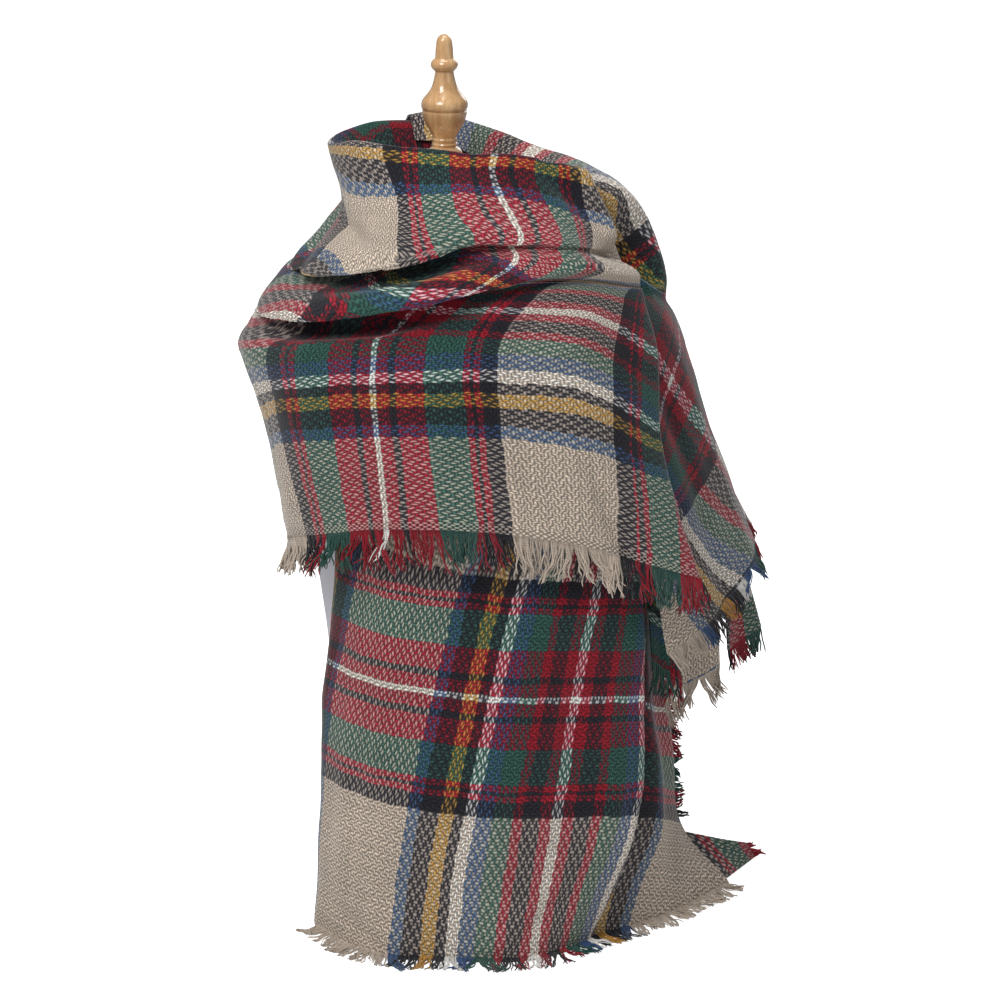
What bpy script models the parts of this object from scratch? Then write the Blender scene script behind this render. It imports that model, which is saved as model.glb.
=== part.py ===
"""Tartan blanket scarf wound round a limbless dress form with a turned wooden finial.

One square of cloth is wound like this. Its tail hangs down the front to the table. The cloth then
goes up to the neck, round it as a cowl, and over the left shoulder to the front, where a soft roll
and a wide panel cross the chest. The panel turns back at a fold edge on the right and ends in a
drape over the right shoulder. All four edges are fringed.

Metres, +Z up, the front faces -Y. The origin is on the form's axis, on the table it stands on.
Azimuths are degrees round that axis: 0 front, 90 right (+X), 180 back, 270 left, 360 front again.
"""

import math
import random

import bmesh
import bpy
import numpy as np
from mathutils import Vector

MM = 0.001
CLOTH = 2.0  # thickness of the cloth
SEAM = 0.3  # gap between pieces that meet
NECK_RADIUS = 62.0
CLOTH_ON_NECK = NECK_RADIUS + 0.6  # the ring that grips the neck
TORSO_SIDES = 32
TURN_STEP = 10  # degrees between the edges of a wound wall

# ---------------------------------------------------------------- dress form, mm
# name, height, half width, half depth
TORSO_SECTIONS = (
    ("base", 0, 126, 90),
    ("hip", 90, 131, 94),
    ("waist", 215, 124, 88),
    ("rib", 300, 131, 92),
    ("chest", 400, 143, 100),
    ("bust", 530, 152, 112),
    ("upper_chest", 610, 158, 108),
    ("armpit", 665, 162, 98),
    ("shoulder", 705, 152, 86),
    ("slope", 732, 118, 76),
    ("neck_root", 752, 78, 67),
    ("neck_low", 766, NECK_RADIUS, NECK_RADIUS),
    ("neck_high", 806, NECK_RADIUS, NECK_RADIUS),
    ("neck_top", 812, 58, 58),
)

CAP_RADIUS = 54
CAP_BOTTOM = 812 + SEAM
CAP_TOP = 825
CAP_EDGE = 4

# name, height above the cap, radius
FINIAL_PROFILE = (
    ("foot", 0.0, 16.0),
    ("bulb_low", 4.5, 18.4),
    ("bulb", 10.0, 19.2),
    ("bulb_high", 15.5, 17.6),
    ("bulb_neck", 19.0, 12.6),
    ("ring_low", 21.6, 13.6),
    ("ring_groove", 23.8, 12.2),
    ("ring_high", 26.2, 13.4),
    ("urn_foot", 29.5, 12.8),
    ("urn_low", 36.0, 15.8),
    ("urn", 45.0, 21.0),
    ("groove_low", 56.4, 23.6),
    ("groove", 57.8, 22.6),
    ("groove_high", 59.2, 24.0),
    ("shoulder", 64.5, 24.6),
    ("shoulder_top", 70.0, 22.4),
    ("waist_low", 78.0, 16.0),
    ("waist", 87.0, 12.0),
    ("neck", 98.0, 9.8),
    ("bead_low", 101.0, 12.4),
    ("bead", 105.5, 14.4),
    ("bead_high", 110.0, 12.6),
    ("stem_low", 112.5, 9.8),
    ("stem", 122.0, 9.0),
    ("stem_top", 131.0, 8.2),
    ("dome", 135.8, 5.6),
    ("tip", 137.6, 0.0),
)
TURNED_SIDES = 20

# ---------------------------------------------------------------- the wound stretches, mm
# Each row is a ring of the cloth. Columns are azimuths, first the radii and then the heights.
WRAP_AZIMUTHS = (100, 130, 180, 230, 270, 310, 345, 375, 400, 420)
# name, radii, heights
WRAP_ROWS = (
    ("inner_low", (CLOTH_ON_NECK,) * 10, (770, 774, 784, 788, 788, 788, 788, 788, 786, 778)),
    ("inner", (88, 86, 80, 86, 106, 99, 84, 86, 101, 124),
        (784, 798, 830, 838, 826, 838, 840, 838, 832, 815)),
    ("rim", (118, 104, 89, 100, 123, 112, 93, 95, 125, 165),
        (800, 816, 848, 858, 842, 855, 855, 854, 853, 836)),
    ("band", (146, 127, 100, 107, 118, 118, 104, 107, 140, 187),
        (788, 802, 832, 840, 824, 831, 833, 834, 829, 810)),
    ("mid", (172, 150, 116, 117, 107, 128, 130, 133, 165, 215),
        (765, 778, 806, 806, 786, 790, 797, 800, 796, 774)),
    ("low", (190, 168, 134, 133, 128, 150, 152, 155, 190, 225),
        (740, 752, 778, 774, 756, 755, 767, 783, 778, 755)),
    ("lip", (202, 182, 150, 151, 160, 172, 168, 160, 200, 230),
        (716, 728, 756, 742, 724, 728, 749, 769, 766, 742)),
    ("crease", (203, 184, 151, 150, 158, 140, 130, 140, 200, 231),
        (711, 723, 751, 738, 718, 733, 752, 766, 761, 737)),
    ("roll_top", (206, 187, 155, 160, 176, 168, 160, 162, 205, 232),
        (705, 717, 743, 724, 710, 713, 739, 757, 756, 732)),
    ("roll", (210, 193, 162, 172, 192, 190, 185, 175, 214, 233),
        (696, 706, 728, 706, 691, 704, 729, 746, 751, 727)),
    ("roll_lip", (214, 198, 168, 184, 205, 203, 195, 185, 221, 234),
        (684, 694, 710, 682, 672, 685, 708, 729, 742, 722)),
    ("under_roll", (215, 200, 170, 187, 206, 174, 160, 160, 208, 235),
        (677, 686, 702, 673, 664, 688, 709, 726, 735, 717)),
    ("panel_top", (217, 203, 174, 192, 213, 190, 178, 172, 216, 238),
        (668, 676, 690, 658, 652, 670, 692, 711, 726, 709)),
    ("bulge", (228, 212, 184, 202, 222, 213, 190, 186, 230, 254),
        (632, 636, 648, 624, 627, 654, 673, 672, 671, 652)),
    ("yellow", (245, 222, 192, 202, 196, 206, 192, 190, 235, 262),
        (556, 562, 570, 556, 553, 596, 615, 614, 602, 550)),
    ("lower", (255, 228, 196, 196, 183, 200, 195, 195, 240, 283),
        (480, 486, 494, 486, 479, 522, 542, 540, 530, 480)),
    ("hem", (262, 232, 198, 190, 172, 190, 198, 200, 245, 310),
        (412, 418, 426, 420, 417, 452, 479, 475, 457, 415)),
)
WRAP_ROW_STEPS = (0, 0.5, 1, 1.5, 2, 2.5, 3, 3.5, 4, 4.5, 5, 6, 7, 7.5) + (
    8, 9, 10, 11, 12, 12.5, 13, 13.5, 14, 14.5, 15, 15.5, 16
)
WRAP_SEAMS = (7.5, 12.5)  # cowl to roll, roll to panels
WRAP_START, WRAP_END = 100, 420
COWL_PARTING, PANEL_PARTING = 220, 250  # azimuths of the upright seams, back to front
# The fold edge at the right, where the cloth turns under: how far along and how far inwards.
FOLD_EDGE = ((4, 1), (6.5, 3.5), (6.5, 7.5), (4, 10.5), (-8, 12))

# The shoulder drape lies over the wrap at the right: it starts inside the front panel's fold edge
# and its hem climbs across the back to the neck.
DRAPE_AZIMUTHS = (60, 78, 95, 125, 155, 185, 205)
# name, radii, heights
DRAPE_ROWS = (
    ("inner", (72, 70, 70, 72, 70, 72, 77), (768, 775, 782, 800, 822, 836, 838)),
    ("crest", (130, 140, 134, 112, 94, 88, 92), (811, 822, 822, 832, 849, 864, 862)),
    ("rim", (146, 168, 166, 126, 106, 99, 104), (817, 820, 815, 826, 842, 857, 855)),
    ("collar", (162, 192, 196, 150, 122, 107, 105), (804, 800, 792, 804, 822, 842, 843)),
    ("shoulder", (178, 206, 218, 178, 142, 120, 108), (784, 772, 760, 772, 796, 824, 834)),
    ("arm", (188, 216, 232, 200, 160, 134, 112), (750, 735, 716, 728, 766, 806, 826)),
    ("tuck", (192, 222, 238, 214, 176, 146, 115), (722, 706, 682, 694, 738, 790, 819)),
    ("under", (190, 220, 239, 217, 180, 149, 117), (716, 699, 672, 685, 730, 784, 816)),
    ("upper", (197, 228, 252, 230, 192, 156, 119), (694, 674, 646, 660, 708, 770, 811)),
    ("middle", (214, 250, 284, 258, 212, 170, 124), (606, 578, 548, 582, 656, 736, 799)),
    ("lower", (246, 285, 316, 284, 228, 180, 132), (464, 456, 460, 512, 608, 704, 786)),
    ("hem", (274, 305, 342, 304, 242, 190, 138), (325, 352, 398, 464, 574, 684, 776)),
)
DRAPE_ROW_STEPS = (0, 0.5, 1, 2, 3, 4, 5, 6, 7, 7.5, 8, 8.5, 9, 9.5, 10, 10.5, 11)
DRAPE_SEAM = 7.5  # shoulder fold to drape
DRAPE_COLUMNS = (60, 66, 72, 78, 84, 90, 96, 103, 111, 120, 130, 140, 150, 160, 170, 180, 190, 198, 205)

# The tail hangs inside the front panel and stands on the table. Stations go from its tucked left
# edge round the front to the sharp fold at the right, in behind it, and out to the fringed side.
# name, height, x at each station, y at each station
TAIL_ROWS = (
    ("chest", 700, (-48, -80, -94, -52, 10, 68, 104, 100, 118, 134),
        (-84.6, -76.6, -85, -98, -101, -98, -88, -78, -70, -60)),
    ("bust", 640, (-50, -90, -106, -56, 15, 85, 140, 134, 158, 168),
        (-106, -94, -100, -118, -124, -118, -94, -78, -62, -30)),
    ("top", 560, (-52, -104, -113, -60, 20, 110, 176, 164, 186, 192),
        (-121, -100, -106, -140, -150, -140, -108, -84, -50, 5)),
    ("hidden", 470, (-54, -104, -112, -58, 24, 112, 200, 178, 204, 206),
        (-116, -94, -106, -158, -166, -156, -120, -94, -56, 18)),
    ("upper", 376, (-58, -108, -117, -60, 22, 112, 208, 186, 216, 218),
        (-112, -93, -109, -169, -177, -166, -125, -100, -60, 26)),
    ("middle", 270, (-62, -118, -129, -66, 18, 110, 210, 188, 224, 234),
        (-112, -92, -110, -174, -184, -173, -128, -102, -60, 28)),
    ("knee", 180, (-66, -121, -132, -72, 12, 106, 211, 190, 234, 250),
        (-114, -92, -110, -178, -190, -179, -132, -106, -60, 26)),
    ("beige", 112, (-68, -125, -136, -76, 8, 100, 198, 184, 240, 253),
        (-115, -93, -112, -180, -194, -184, -144, -118, -62, 24)),
    ("low", 60, (-70, -128, -139, -80, 4, 92, 177, 176, 240, 266),
        (-116, -94, -114, -183, -198, -194, -158, -132, -70, 18)),
    ("floor", 8, (-74, -132, -141, -84, 0, 84, 150, 166, 238, 314),
        (-118, -96, -116, -186, -204, -204, -166, -142, -90, 2)),
    ("hem", 0, (-74, -132, -141, -84, 0, 84, 150, 166, 238, 314),
        (-118, -96, -116, -186, -204, -204, -166, -142, -90, 2)),
)
TAIL_ROW_STEPS = (0, 1, 2, 2.5, 3, 3.5, 4, 4.5, 5, 5.5, 6, 6.5, 7, 7.5, 8, 8.5, 9, 10)
TAIL_LEFT, TAIL_FOLD = 2, 6  # stations where its fringe starts, and of the sharp fold
TAIL_STATIONS = (0, 0.5, 1, 1.4, 1.7, 2, 2.4, 3, 3.5, 4, 4.5, 5, 5.4, 5.7, 6, 6.3, 6.6, 7, 7.5, 8, 8.5, 9)

# Small folded layers that hang from the inside of the drape below its hem.
# name, row of the drape where it starts, left and right azimuth there, left and right end of its hem
DRAPE_LAYERS = (
    ("inner_fold", 9, (64, 72), (222, -84, 300), (256, -66, 268)),
    ("under_fold", 9.5, (74, 87), (238, -52, 243), (300, -16, 270)),
    ("corner_fold", 9.5, (92, 103), (310, 10, 278), (350, 52, 292)),
)
LAYER_STEPS = 5
SIDE_FRINGE_ROWS = (9, 14)  # of the tail's row steps
# The tail's far corner on the table: the row steps of the side that it starts from, and the upper
# and lower end of its tip.
CORNER_ROWS = (14, 17)
CORNER_TIP = ((340, 62, 26), (352, 78, 3))

FRINGE_STRIP = 4.0  # height of the band that holds the roots
FRINGE_TAPER = 0.5  # width at the tip as a share of the root
FRINGE_SWAY = 0.18  # how far a tip may swing sideways, as a share of the pitch
FRINGE_FLOOR = 1.5  # height of the lowest tips over the table
# name: length, pitch of the locks
FRINGES = {
    "front_hem": (44, 11),
    "back_hem": (42, 12),
    "drape_hem": (40, 13),
    "inner_fold": (34, 8),
    "under_fold": (38, 9),
    "corner_fold": (30, 8),
    "tail_hem": (24, 12),
    "tail_side": (15, 13),
    "tail_corner": (12, 9),
}


# ---------------------------------------------------------------- smooth curves through tables
def weights(knots, places):
    """Rows of weights: weights @ values is a smooth curve through the values at the knots."""
    knots = np.asarray(knots, float)
    places = np.clip(np.asarray(places, float), knots[0], knots[-1])
    count = len(knots)
    unit = np.eye(count)
    span = np.diff(knots)
    slope = (unit[1:] - unit[:-1]) / span[:, None]
    tangent = np.empty((count, count))
    tangent[0], tangent[-1] = slope[0], slope[-1]
    for i in range(1, count - 1):
        tangent[i] = (slope[i - 1] * span[i] + slope[i] * span[i - 1]) / (span[i - 1] + span[i])
    left = np.clip(np.searchsorted(knots, places, side="right") - 1, 0, count - 2)
    step = span[left][:, None]
    t = ((places - knots[left])[:, None]) / step
    return (
        (2 * t**3 - 3 * t**2 + 1) * unit[left]
        + (t**3 - 2 * t**2 + t) * step * tangent[left]
        + (3 * t**2 - 2 * t**3) * unit[left + 1]
        + (t**3 - t**2) * step * tangent[left + 1]
    )


def blend(table, rows, knots, columns):
    """Values of a table at fractional rows and at column positions between its knots."""
    return weights(range(len(table)), rows) @ np.array(table, float) @ weights(knots, columns).T


def ring_points(table, knots, azimuths, rows):
    """A grid of points on the rings of a table of radii and heights, in mm."""
    radius = blend([row[1] for row in table], rows, knots, azimuths)
    height = blend([row[2] for row in table], rows, knots, azimuths)
    turn = np.radians(azimuths)[None, :]
    return np.stack([radius * np.sin(turn), -radius * np.cos(turn), height], -1)


def tail_points(stations, rows):
    knots = range(len(TAIL_ROWS[0][2]))
    x = blend([row[2] for row in TAIL_ROWS], rows, knots, stations)
    y = blend([row[3] for row in TAIL_ROWS], rows, knots, stations)
    height = weights(range(len(TAIL_ROWS)), rows) @ np.array([row[1] for row in TAIL_ROWS], float)
    return np.stack([x, y, np.broadcast_to(height[:, None], x.shape)], -1)


def between(first, last, steps):
    """A grid of points between two rows of points."""
    share = np.linspace(0, 1, steps)[:, None, None]
    return first[None] * (1 - share) + last[None] * share


def line(first, last, count):
    share = np.linspace(0, 1, count)[:, None]
    return np.array(first, float) * (1 - share) + np.array(last, float) * share


def drawn_back(points, row=None, column=None):
    """The grid with one border row or column moved inwards by half a seam."""
    moved = points.copy()
    border = (row, slice(None)) if row is not None else (slice(None), column)
    inside = {0: 1, -1: -2}[row if row is not None else column]
    next_one = (inside, slice(None)) if row is not None else (slice(None), inside)
    way = points[next_one] - points[border]
    moved[border] += way / np.linalg.norm(way, axis=-1, keepdims=True) * SEAM / 2
    return moved


# ---------------------------------------------------------------- making objects
def material(name, colour, roughness, metallic=0.0):
    made = bpy.data.materials.new(name)
    made.use_nodes = True
    shader = made.node_tree.nodes["Principled BSDF"]
    shader.inputs["Base Color"].default_value = (*colour, 1)
    shader.inputs["Roughness"].default_value = roughness
    shader.inputs["Metallic"].default_value = metallic
    return made


def place(name, mesh, collection, finish, angle=30):
    thing = bpy.data.objects.new(name, mesh)
    collection.objects.link(thing)
    mesh.materials.append(finish)
    mesh.shade_smooth()
    mesh.set_sharp_from_angle(angle=math.radians(angle))
    return thing


def cloth_wall(name, outer, normals, collection, finish):
    """A wall between a grid of points in mm and its copy moved inwards by the cloth's thickness.

    Neighbours that share a border take its normals from one surface, so their rims stay parallel.
    """
    rows, columns = outer.shape[:2]
    bm = bmesh.new()
    face, back = (
        [[bm.verts.new(Vector(point) * MM) for point in row] for row in grid]
        for grid in (outer, outer - normals * CLOTH)
    )
    for i in range(rows - 1):
        for j in range(columns - 1):
            bm.faces.new((face[i][j], face[i + 1][j], face[i + 1][j + 1], face[i][j + 1]))
            bm.faces.new((back[i][j], back[i][j + 1], back[i + 1][j + 1], back[i + 1][j]))
    for first, last in ((0, rows - 1), (rows - 1, 0)):
        way = range(columns - 1) if first == 0 else range(columns - 1, 0, -1)
        for j in way:
            k = j + 1 if first == 0 else j - 1
            bm.faces.new((face[first][j], face[first][k], back[first][k], back[first][j]))
    for first in (0, columns - 1):
        way = range(rows - 1, 0, -1) if first == 0 else range(rows - 1)
        for i in way:
            k = i - 1 if first == 0 else i + 1
            bm.faces.new((face[i][first], face[k][first], back[k][first], back[i][first]))
    mesh = bpy.data.meshes.new(name)
    bm.to_mesh(mesh)
    bm.free()
    return place(name, mesh, collection, finish)


def unit(vectors):
    return vectors / np.linalg.norm(vectors, axis=-1, keepdims=True)


def headings(points):
    """The way each line of points runs at each point: midway between its two stretches there."""
    stretches = unit(np.diff(points, axis=0))
    return unit(np.concatenate([stretches[:1], stretches[:-1] + stretches[1:], stretches[-1:]]))


def face_normals(points):
    """Unit normals of a grid of points, on its face side."""
    along = headings(points.transpose(1, 0, 2)).transpose(1, 0, 2)
    return unit(np.cross(headings(points), along))


def spaced(edge, values, pitch):
    """Points on an edge's own straight stretches, about a pitch apart, with their values."""
    places = [0.0]
    for i, length in enumerate(np.linalg.norm(np.diff(edge, axis=0), axis=1)):
        count = max(1, round(length / pitch))
        places += [i + (j + 1) / count for j in range(count)]
    knots = np.arange(len(edge))
    return [np.stack([np.interp(places, knots, grid[:, k]) for k in range(3)], 1) for grid in (edge, values)]


def parted_walls(names, outer, normals, column, collection, finish):
    """Two walls from one grid of points, with a seam between them along a column of it."""
    sides = (slice(None, column + 1), slice(column, None))
    walls = [drawn_back(outer[:, side], column=border) for side, border in zip(sides, (-1, 0))]
    for name, wall, side in zip(names, walls, sides):
        cloth_wall(name, wall, normals[:, side], collection, finish)
    return walls


def fringe(name, edge, outward, way, collection, finish, off_wall=SEAM):
    """A narrow band just past a cloth edge, with one tapered lock below each stretch of it.

    outward holds the cloth's normal at each point of the edge. way gives the locks' direction from
    the point and the normal.
    """
    length, pitch = FRINGES[name]
    draw = random.Random(name)
    edge, outward = spaced(np.array(edge), np.array(outward), pitch)
    bm = bmesh.new()
    rings = []
    ways = []
    for point, normal in zip(edge, outward):
        point, normal = Vector(point), Vector(normal).normalized()
        down = Vector(way(point, normal)).normalized()
        ways.append(down)
        top = point + down * off_wall
        low = top + down * FRINGE_STRIP
        back = normal * -CLOTH
        rings.append([bm.verts.new(corner * MM) for corner in (top, low, low + back, top + back)])
    roots = []
    for a, b in zip(rings, rings[1:]):
        for j in range(4):
            k = (j + 1) % 4
            face = bm.faces.new((a[j], b[j], b[k], a[k]))
            if j == 1:
                roots.append(face)
    bm.faces.new(list(reversed(rings[0])))
    bm.faces.new(rings[-1])
    for i, root in enumerate(roots):
        along = Vector(edge[i + 1]) - Vector(edge[i])
        reach = (ways[i] + ways[i + 1]).normalized() * (length * draw.uniform(0.8, 1.06) - FRINGE_STRIP)
        reach += along * draw.uniform(-FRINGE_SWAY, FRINGE_SWAY)
        lock = bmesh.ops.extrude_discrete_faces(bm, faces=[root])["faces"][0]
        centre = lock.calc_center_median()
        for vert in lock.verts:
            vert.co = centre + (vert.co - centre) * FRINGE_TAPER + reach * MM
        lift = FRINGE_FLOOR * MM - min(vert.co.z for vert in lock.verts)
        for vert in lock.verts:
            vert.co.z += max(0, lift)
    bmesh.ops.recalc_face_normals(bm, faces=bm.faces)
    mesh = bpy.data.meshes.new("fringe_" + name)
    bm.to_mesh(mesh)
    bm.free()
    return place("fringe_" + name, mesh, collection, finish)


def hanging(point, normal):
    """Mostly down, leaning off the cloth, and more so high up where it lies on a slope."""
    lean = 0.16 + 0.4 * min(1, max(0, (point.z - 480) / 180))
    return (normal[0] * lean, normal[1] * lean, -1)


def lying(point, normal):
    """Out over the table."""
    return (normal[0], normal[1], -0.32)


def sideways(point, normal):
    """Off the tail's side, falling."""
    return (0.8, 0.45, -0.45)


def along_table(point, normal):
    """Off the tail's corner, level."""
    return (0.86, 0.5, 0)


# ---------------------------------------------------------------- dress form
def build_torso(collection, finish):
    heights = [row[1] for row in TORSO_SECTIONS]
    steps = sorted({*heights, *(a + (b - a) / 2 for a, b in zip(heights, heights[1:]) if b - a > 60)})
    shape = weights(heights, steps) @ np.array([row[2:] for row in TORSO_SECTIONS], float)
    bm = bmesh.new()
    rings = []
    for height, (half_width, half_depth) in zip(steps, shape):
        ring = []
        for i in range(TORSO_SIDES):
            turn = 2 * math.pi * i / TORSO_SIDES
            x, y = half_width * math.sin(turn), -half_depth * math.cos(turn)
            ring.append(bm.verts.new(Vector((x, y, height)) * MM))
        rings.append(ring)
    for low, high in zip(rings, rings[1:]):
        for i in range(TORSO_SIDES):
            j = (i + 1) % TORSO_SIDES
            bm.faces.new((low[i], low[j], high[j], high[i]))
    bm.faces.new(list(reversed(rings[0])))
    bm.faces.new(rings[-1])
    mesh = bpy.data.meshes.new("form_torso")
    bm.to_mesh(mesh)
    bm.free()
    return place("form_torso", mesh, collection, finish, angle=50)


def turned(name, profile, collection, finish):
    """A closed profile of heights and radii in mm, from the bottom up, turned round the axis."""
    mesh = bpy.data.meshes.new(name)
    points = [(radius * MM, 0, height * MM) for height, radius in reversed(profile)]
    mesh.from_pydata(points, [(i, i + 1) for i in range(len(points) - 1)], [])
    thing = place(name, mesh, collection, finish, angle=35)
    screw = thing.modifiers.new("turn", "SCREW")
    screw.axis = "Z"
    screw.steps = screw.render_steps = TURNED_SIDES
    screw.use_merge_vertices = True
    screw.merge_threshold = 0.00005
    return thing


def build_cap(collection, finish):
    profile = (
        (CAP_BOTTOM, 0),
        (CAP_BOTTOM, CAP_RADIUS),
        (CAP_TOP - CAP_EDGE, CAP_RADIUS),
        (CAP_TOP - CAP_EDGE * 0.3, CAP_RADIUS - CAP_EDGE * 0.3),
        (CAP_TOP, CAP_RADIUS - CAP_EDGE),
        (CAP_TOP, 0),
    )
    return turned("form_cap", profile, collection, finish)


def build_finial(collection, finish):
    foot = CAP_TOP + SEAM
    profile = [(foot, 0)] + [(foot + height, radius) for _, height, radius in FINIAL_PROFILE]
    return turned("form_finial", profile, collection, finish)


# ---------------------------------------------------------------- the scarf
def fold_edge(border):
    """Columns that carry a border on round a tight turn, and back under it."""
    turn = math.radians(WRAP_END)
    out = np.array([math.sin(turn), -math.cos(turn), 0])
    on = np.array([math.cos(turn), math.sin(turn), 0])
    return np.stack([border + on * along - out * inwards for along, inwards in FOLD_EDGE], axis=1)


def build_wrap(collection, finish):
    """The cowl, the roll under it and the panels, one wound cloth parted at its seams."""
    azimuths = np.arange(WRAP_START, WRAP_END + 1, TURN_STEP)
    points = ring_points(WRAP_ROWS, WRAP_AZIMUTHS, azimuths, WRAP_ROW_STEPS)
    points = np.concatenate([points, fold_edge(points[:, -1])], axis=1)
    normals = face_normals(points)
    seam, low_seam = (WRAP_ROW_STEPS.index(row) for row in WRAP_SEAMS)
    end = len(azimuths)
    cowl_split, panel_split = (list(azimuths).index(turn) for turn in (COWL_PARTING, PANEL_PARTING))
    cowl = drawn_back(points[: seam + 1, :end], row=-1)
    cowl_names = ("scarf_cowl_back", "scarf_cowl")
    parted_walls(cowl_names, cowl, normals[: seam + 1, :end], cowl_split, collection, finish)
    roll = drawn_back(drawn_back(points[seam : low_seam + 1], row=0), row=-1)
    cloth_wall("scarf_roll", roll, normals[seam : low_seam + 1], collection, finish)
    panel, normals = drawn_back(points[low_seam:], row=0), normals[low_seam:]
    panel_names = ("scarf_back_panel", "scarf_front_panel")
    back, front = parted_walls(panel_names, panel, normals, panel_split, collection, finish)
    fringe("back_hem", back[-1], normals[-1, : panel_split + 1], hanging, collection, finish)
    fringe("front_hem", front[-1], normals[-1, panel_split:], hanging, collection, finish)


def build_drape(collection, finish):
    points = ring_points(DRAPE_ROWS, DRAPE_AZIMUTHS, DRAPE_COLUMNS, DRAPE_ROW_STEPS)
    normals = face_normals(points)
    seam = DRAPE_ROW_STEPS.index(DRAPE_SEAM)
    fold, drape = drawn_back(points[: seam + 1], row=-1), drawn_back(points[seam:], row=0)
    cloth_wall("scarf_shoulder_fold", fold, normals[: seam + 1], collection, finish)
    cloth_wall("scarf_drape", drape, normals[seam:], collection, finish)
    fringe("drape_hem", points[-1], normals[-1], hanging, collection, finish)
    inside = points - normals * (CLOTH + SEAM)
    for name, row, (left, right), hem_left, hem_right in DRAPE_LAYERS:
        azimuths = np.linspace(left, right, LAYER_STEPS)
        above = inside[DRAPE_ROW_STEPS.index(row)]
        seat = np.stack([np.interp(azimuths, DRAPE_COLUMNS, above[:, k]) for k in range(3)], 1)
        layer = between(seat, line(hem_left, hem_right, LAYER_STEPS), LAYER_STEPS)
        faces = face_normals(layer)
        cloth_wall("scarf_" + name, layer, faces, collection, finish)
        fringe(name, layer[-1], faces[-1], hanging, collection, finish)


def build_tail(collection, finish):
    points = tail_points(TAIL_STATIONS, TAIL_ROW_STEPS)
    normals = face_normals(points)
    normals[-2:, :, 2] = 0
    normals = unit(normals)
    normals[-1] = normals[-2]
    fold = TAIL_STATIONS.index(TAIL_FOLD)
    parted_walls(("scarf_tail", "scarf_tail_side"), points, normals, fold, collection, finish)
    off = CLOTH + SEAM
    left = TAIL_STATIONS.index(TAIL_LEFT)
    edge = points[-2, left:] + normals[-1, left:] * off
    fringe("tail_hem", edge, normals[-1, left:], lying, collection, finish, off_wall=0)
    beside = slice(*SIDE_FRINGE_ROWS)
    fringe("tail_side", points[beside, -1][::-1], normals[beside, -1][::-1], sideways, collection, finish)
    seat = (points - normals * off)[slice(*CORNER_ROWS), -1]
    corner = between(seat, line(*CORNER_TIP, len(seat)), LAYER_STEPS).transpose(1, 0, 2)
    faces = face_normals(corner)
    cloth_wall("scarf_tail_corner", corner, faces, collection, finish)
    fringe("tail_corner", corner[::-1, -1], faces[::-1, -1], along_table, collection, finish)


def main():
    for thing in list(bpy.data.objects):
        bpy.data.objects.remove(thing)
    collection = bpy.data.collections.new("tartan_blanket_scarf")
    bpy.context.scene.collection.children.link(collection)
    form_cloth = material("form_cover", (0.76, 0.76, 0.82), 0.85)
    wood = material("varnished_wood", (0.55, 0.29, 0.12), 0.25)
    tartan = material("tartan_cloth", (0.35, 0.12, 0.11), 0.9)
    build_torso(collection, form_cloth)
    build_cap(collection, wood)
    build_finial(collection, wood)
    build_wrap(collection, tartan)
    build_drape(collection, tartan)
    build_tail(collection, tartan)


main()
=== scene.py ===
"""Looks of a tartan blanket scarf wound round a limbless dress form with a turned finial.

Run as a script inside Blender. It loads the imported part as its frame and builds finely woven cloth,
loose fringes, the form's smooth cover and varnished wood over it, with a pale studio stage.

Lengths in the tables are millimetres. Azimuths are degrees round the form's axis, 0 at the front and
90 at the side where the drape hangs. Thread coordinates count the tartan's own units: the warp's
across its stripes, and the weft's up its own. In the meshes both count from white pivot lines.
"""

import math
from dataclasses import dataclass
from functools import cache

import bpy
import numpy as np
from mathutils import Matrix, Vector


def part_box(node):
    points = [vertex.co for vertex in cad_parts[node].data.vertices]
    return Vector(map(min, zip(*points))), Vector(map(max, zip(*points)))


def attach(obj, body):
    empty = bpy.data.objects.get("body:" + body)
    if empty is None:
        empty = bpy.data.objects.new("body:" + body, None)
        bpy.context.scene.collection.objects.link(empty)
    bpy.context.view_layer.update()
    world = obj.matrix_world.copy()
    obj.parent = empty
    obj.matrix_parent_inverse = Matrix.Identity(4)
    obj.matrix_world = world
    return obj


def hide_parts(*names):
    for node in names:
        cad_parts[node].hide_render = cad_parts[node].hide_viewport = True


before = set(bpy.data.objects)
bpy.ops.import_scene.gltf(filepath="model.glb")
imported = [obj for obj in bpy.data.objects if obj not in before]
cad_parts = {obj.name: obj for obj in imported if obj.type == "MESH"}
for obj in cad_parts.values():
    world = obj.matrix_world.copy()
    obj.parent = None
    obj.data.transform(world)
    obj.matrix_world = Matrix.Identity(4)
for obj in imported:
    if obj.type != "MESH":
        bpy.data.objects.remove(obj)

bl_info = {
    "name": "Tartan Blanket Scarf",
    "version": (1, 0, 0),
    "blender": (4, 5, 0),
    "location": "3D View > Sidebar > Scarf",
    "description": "Builds a fringed tartan blanket scarf on a dress form",
    "category": "Add Mesh",
}

MM = 0.001
BODY = "root"
CLOTH_UV = "cloth"
UNIT = 1.03  # mm of cloth per unit of the tartan's threads

# ---------------------------------------------------------------- the tartan
# Stripes outwards from the white pivot line to the middle of the beige ground, then mirrored.
WARP_SETT = (
    ("white", 3.2), ("red", 14.5), ("navy", 5.6), ("red", 28), ("green", 37.5),
    ("red", 7), ("navy", 5), ("red", 7), ("navy", 17.5), ("beige", 59),
)
WEFT_SETT = (
    ("white", 6.2), ("red", 11.5), ("navy", 17.5), ("red", 11), ("green", 20.5), ("blue", 17),
    ("white", 12.4), ("navy", 10.3), ("ochre", 13.2), ("navy", 19), ("blue", 11), ("beige", 59),
)
HEM_TO_PIVOT = 244.7  # units from the front hem up to the weft's white pivot
DRAPE_TO_PIVOT = 368.6  # units from the drape's start to the warp's next white pivot

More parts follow.
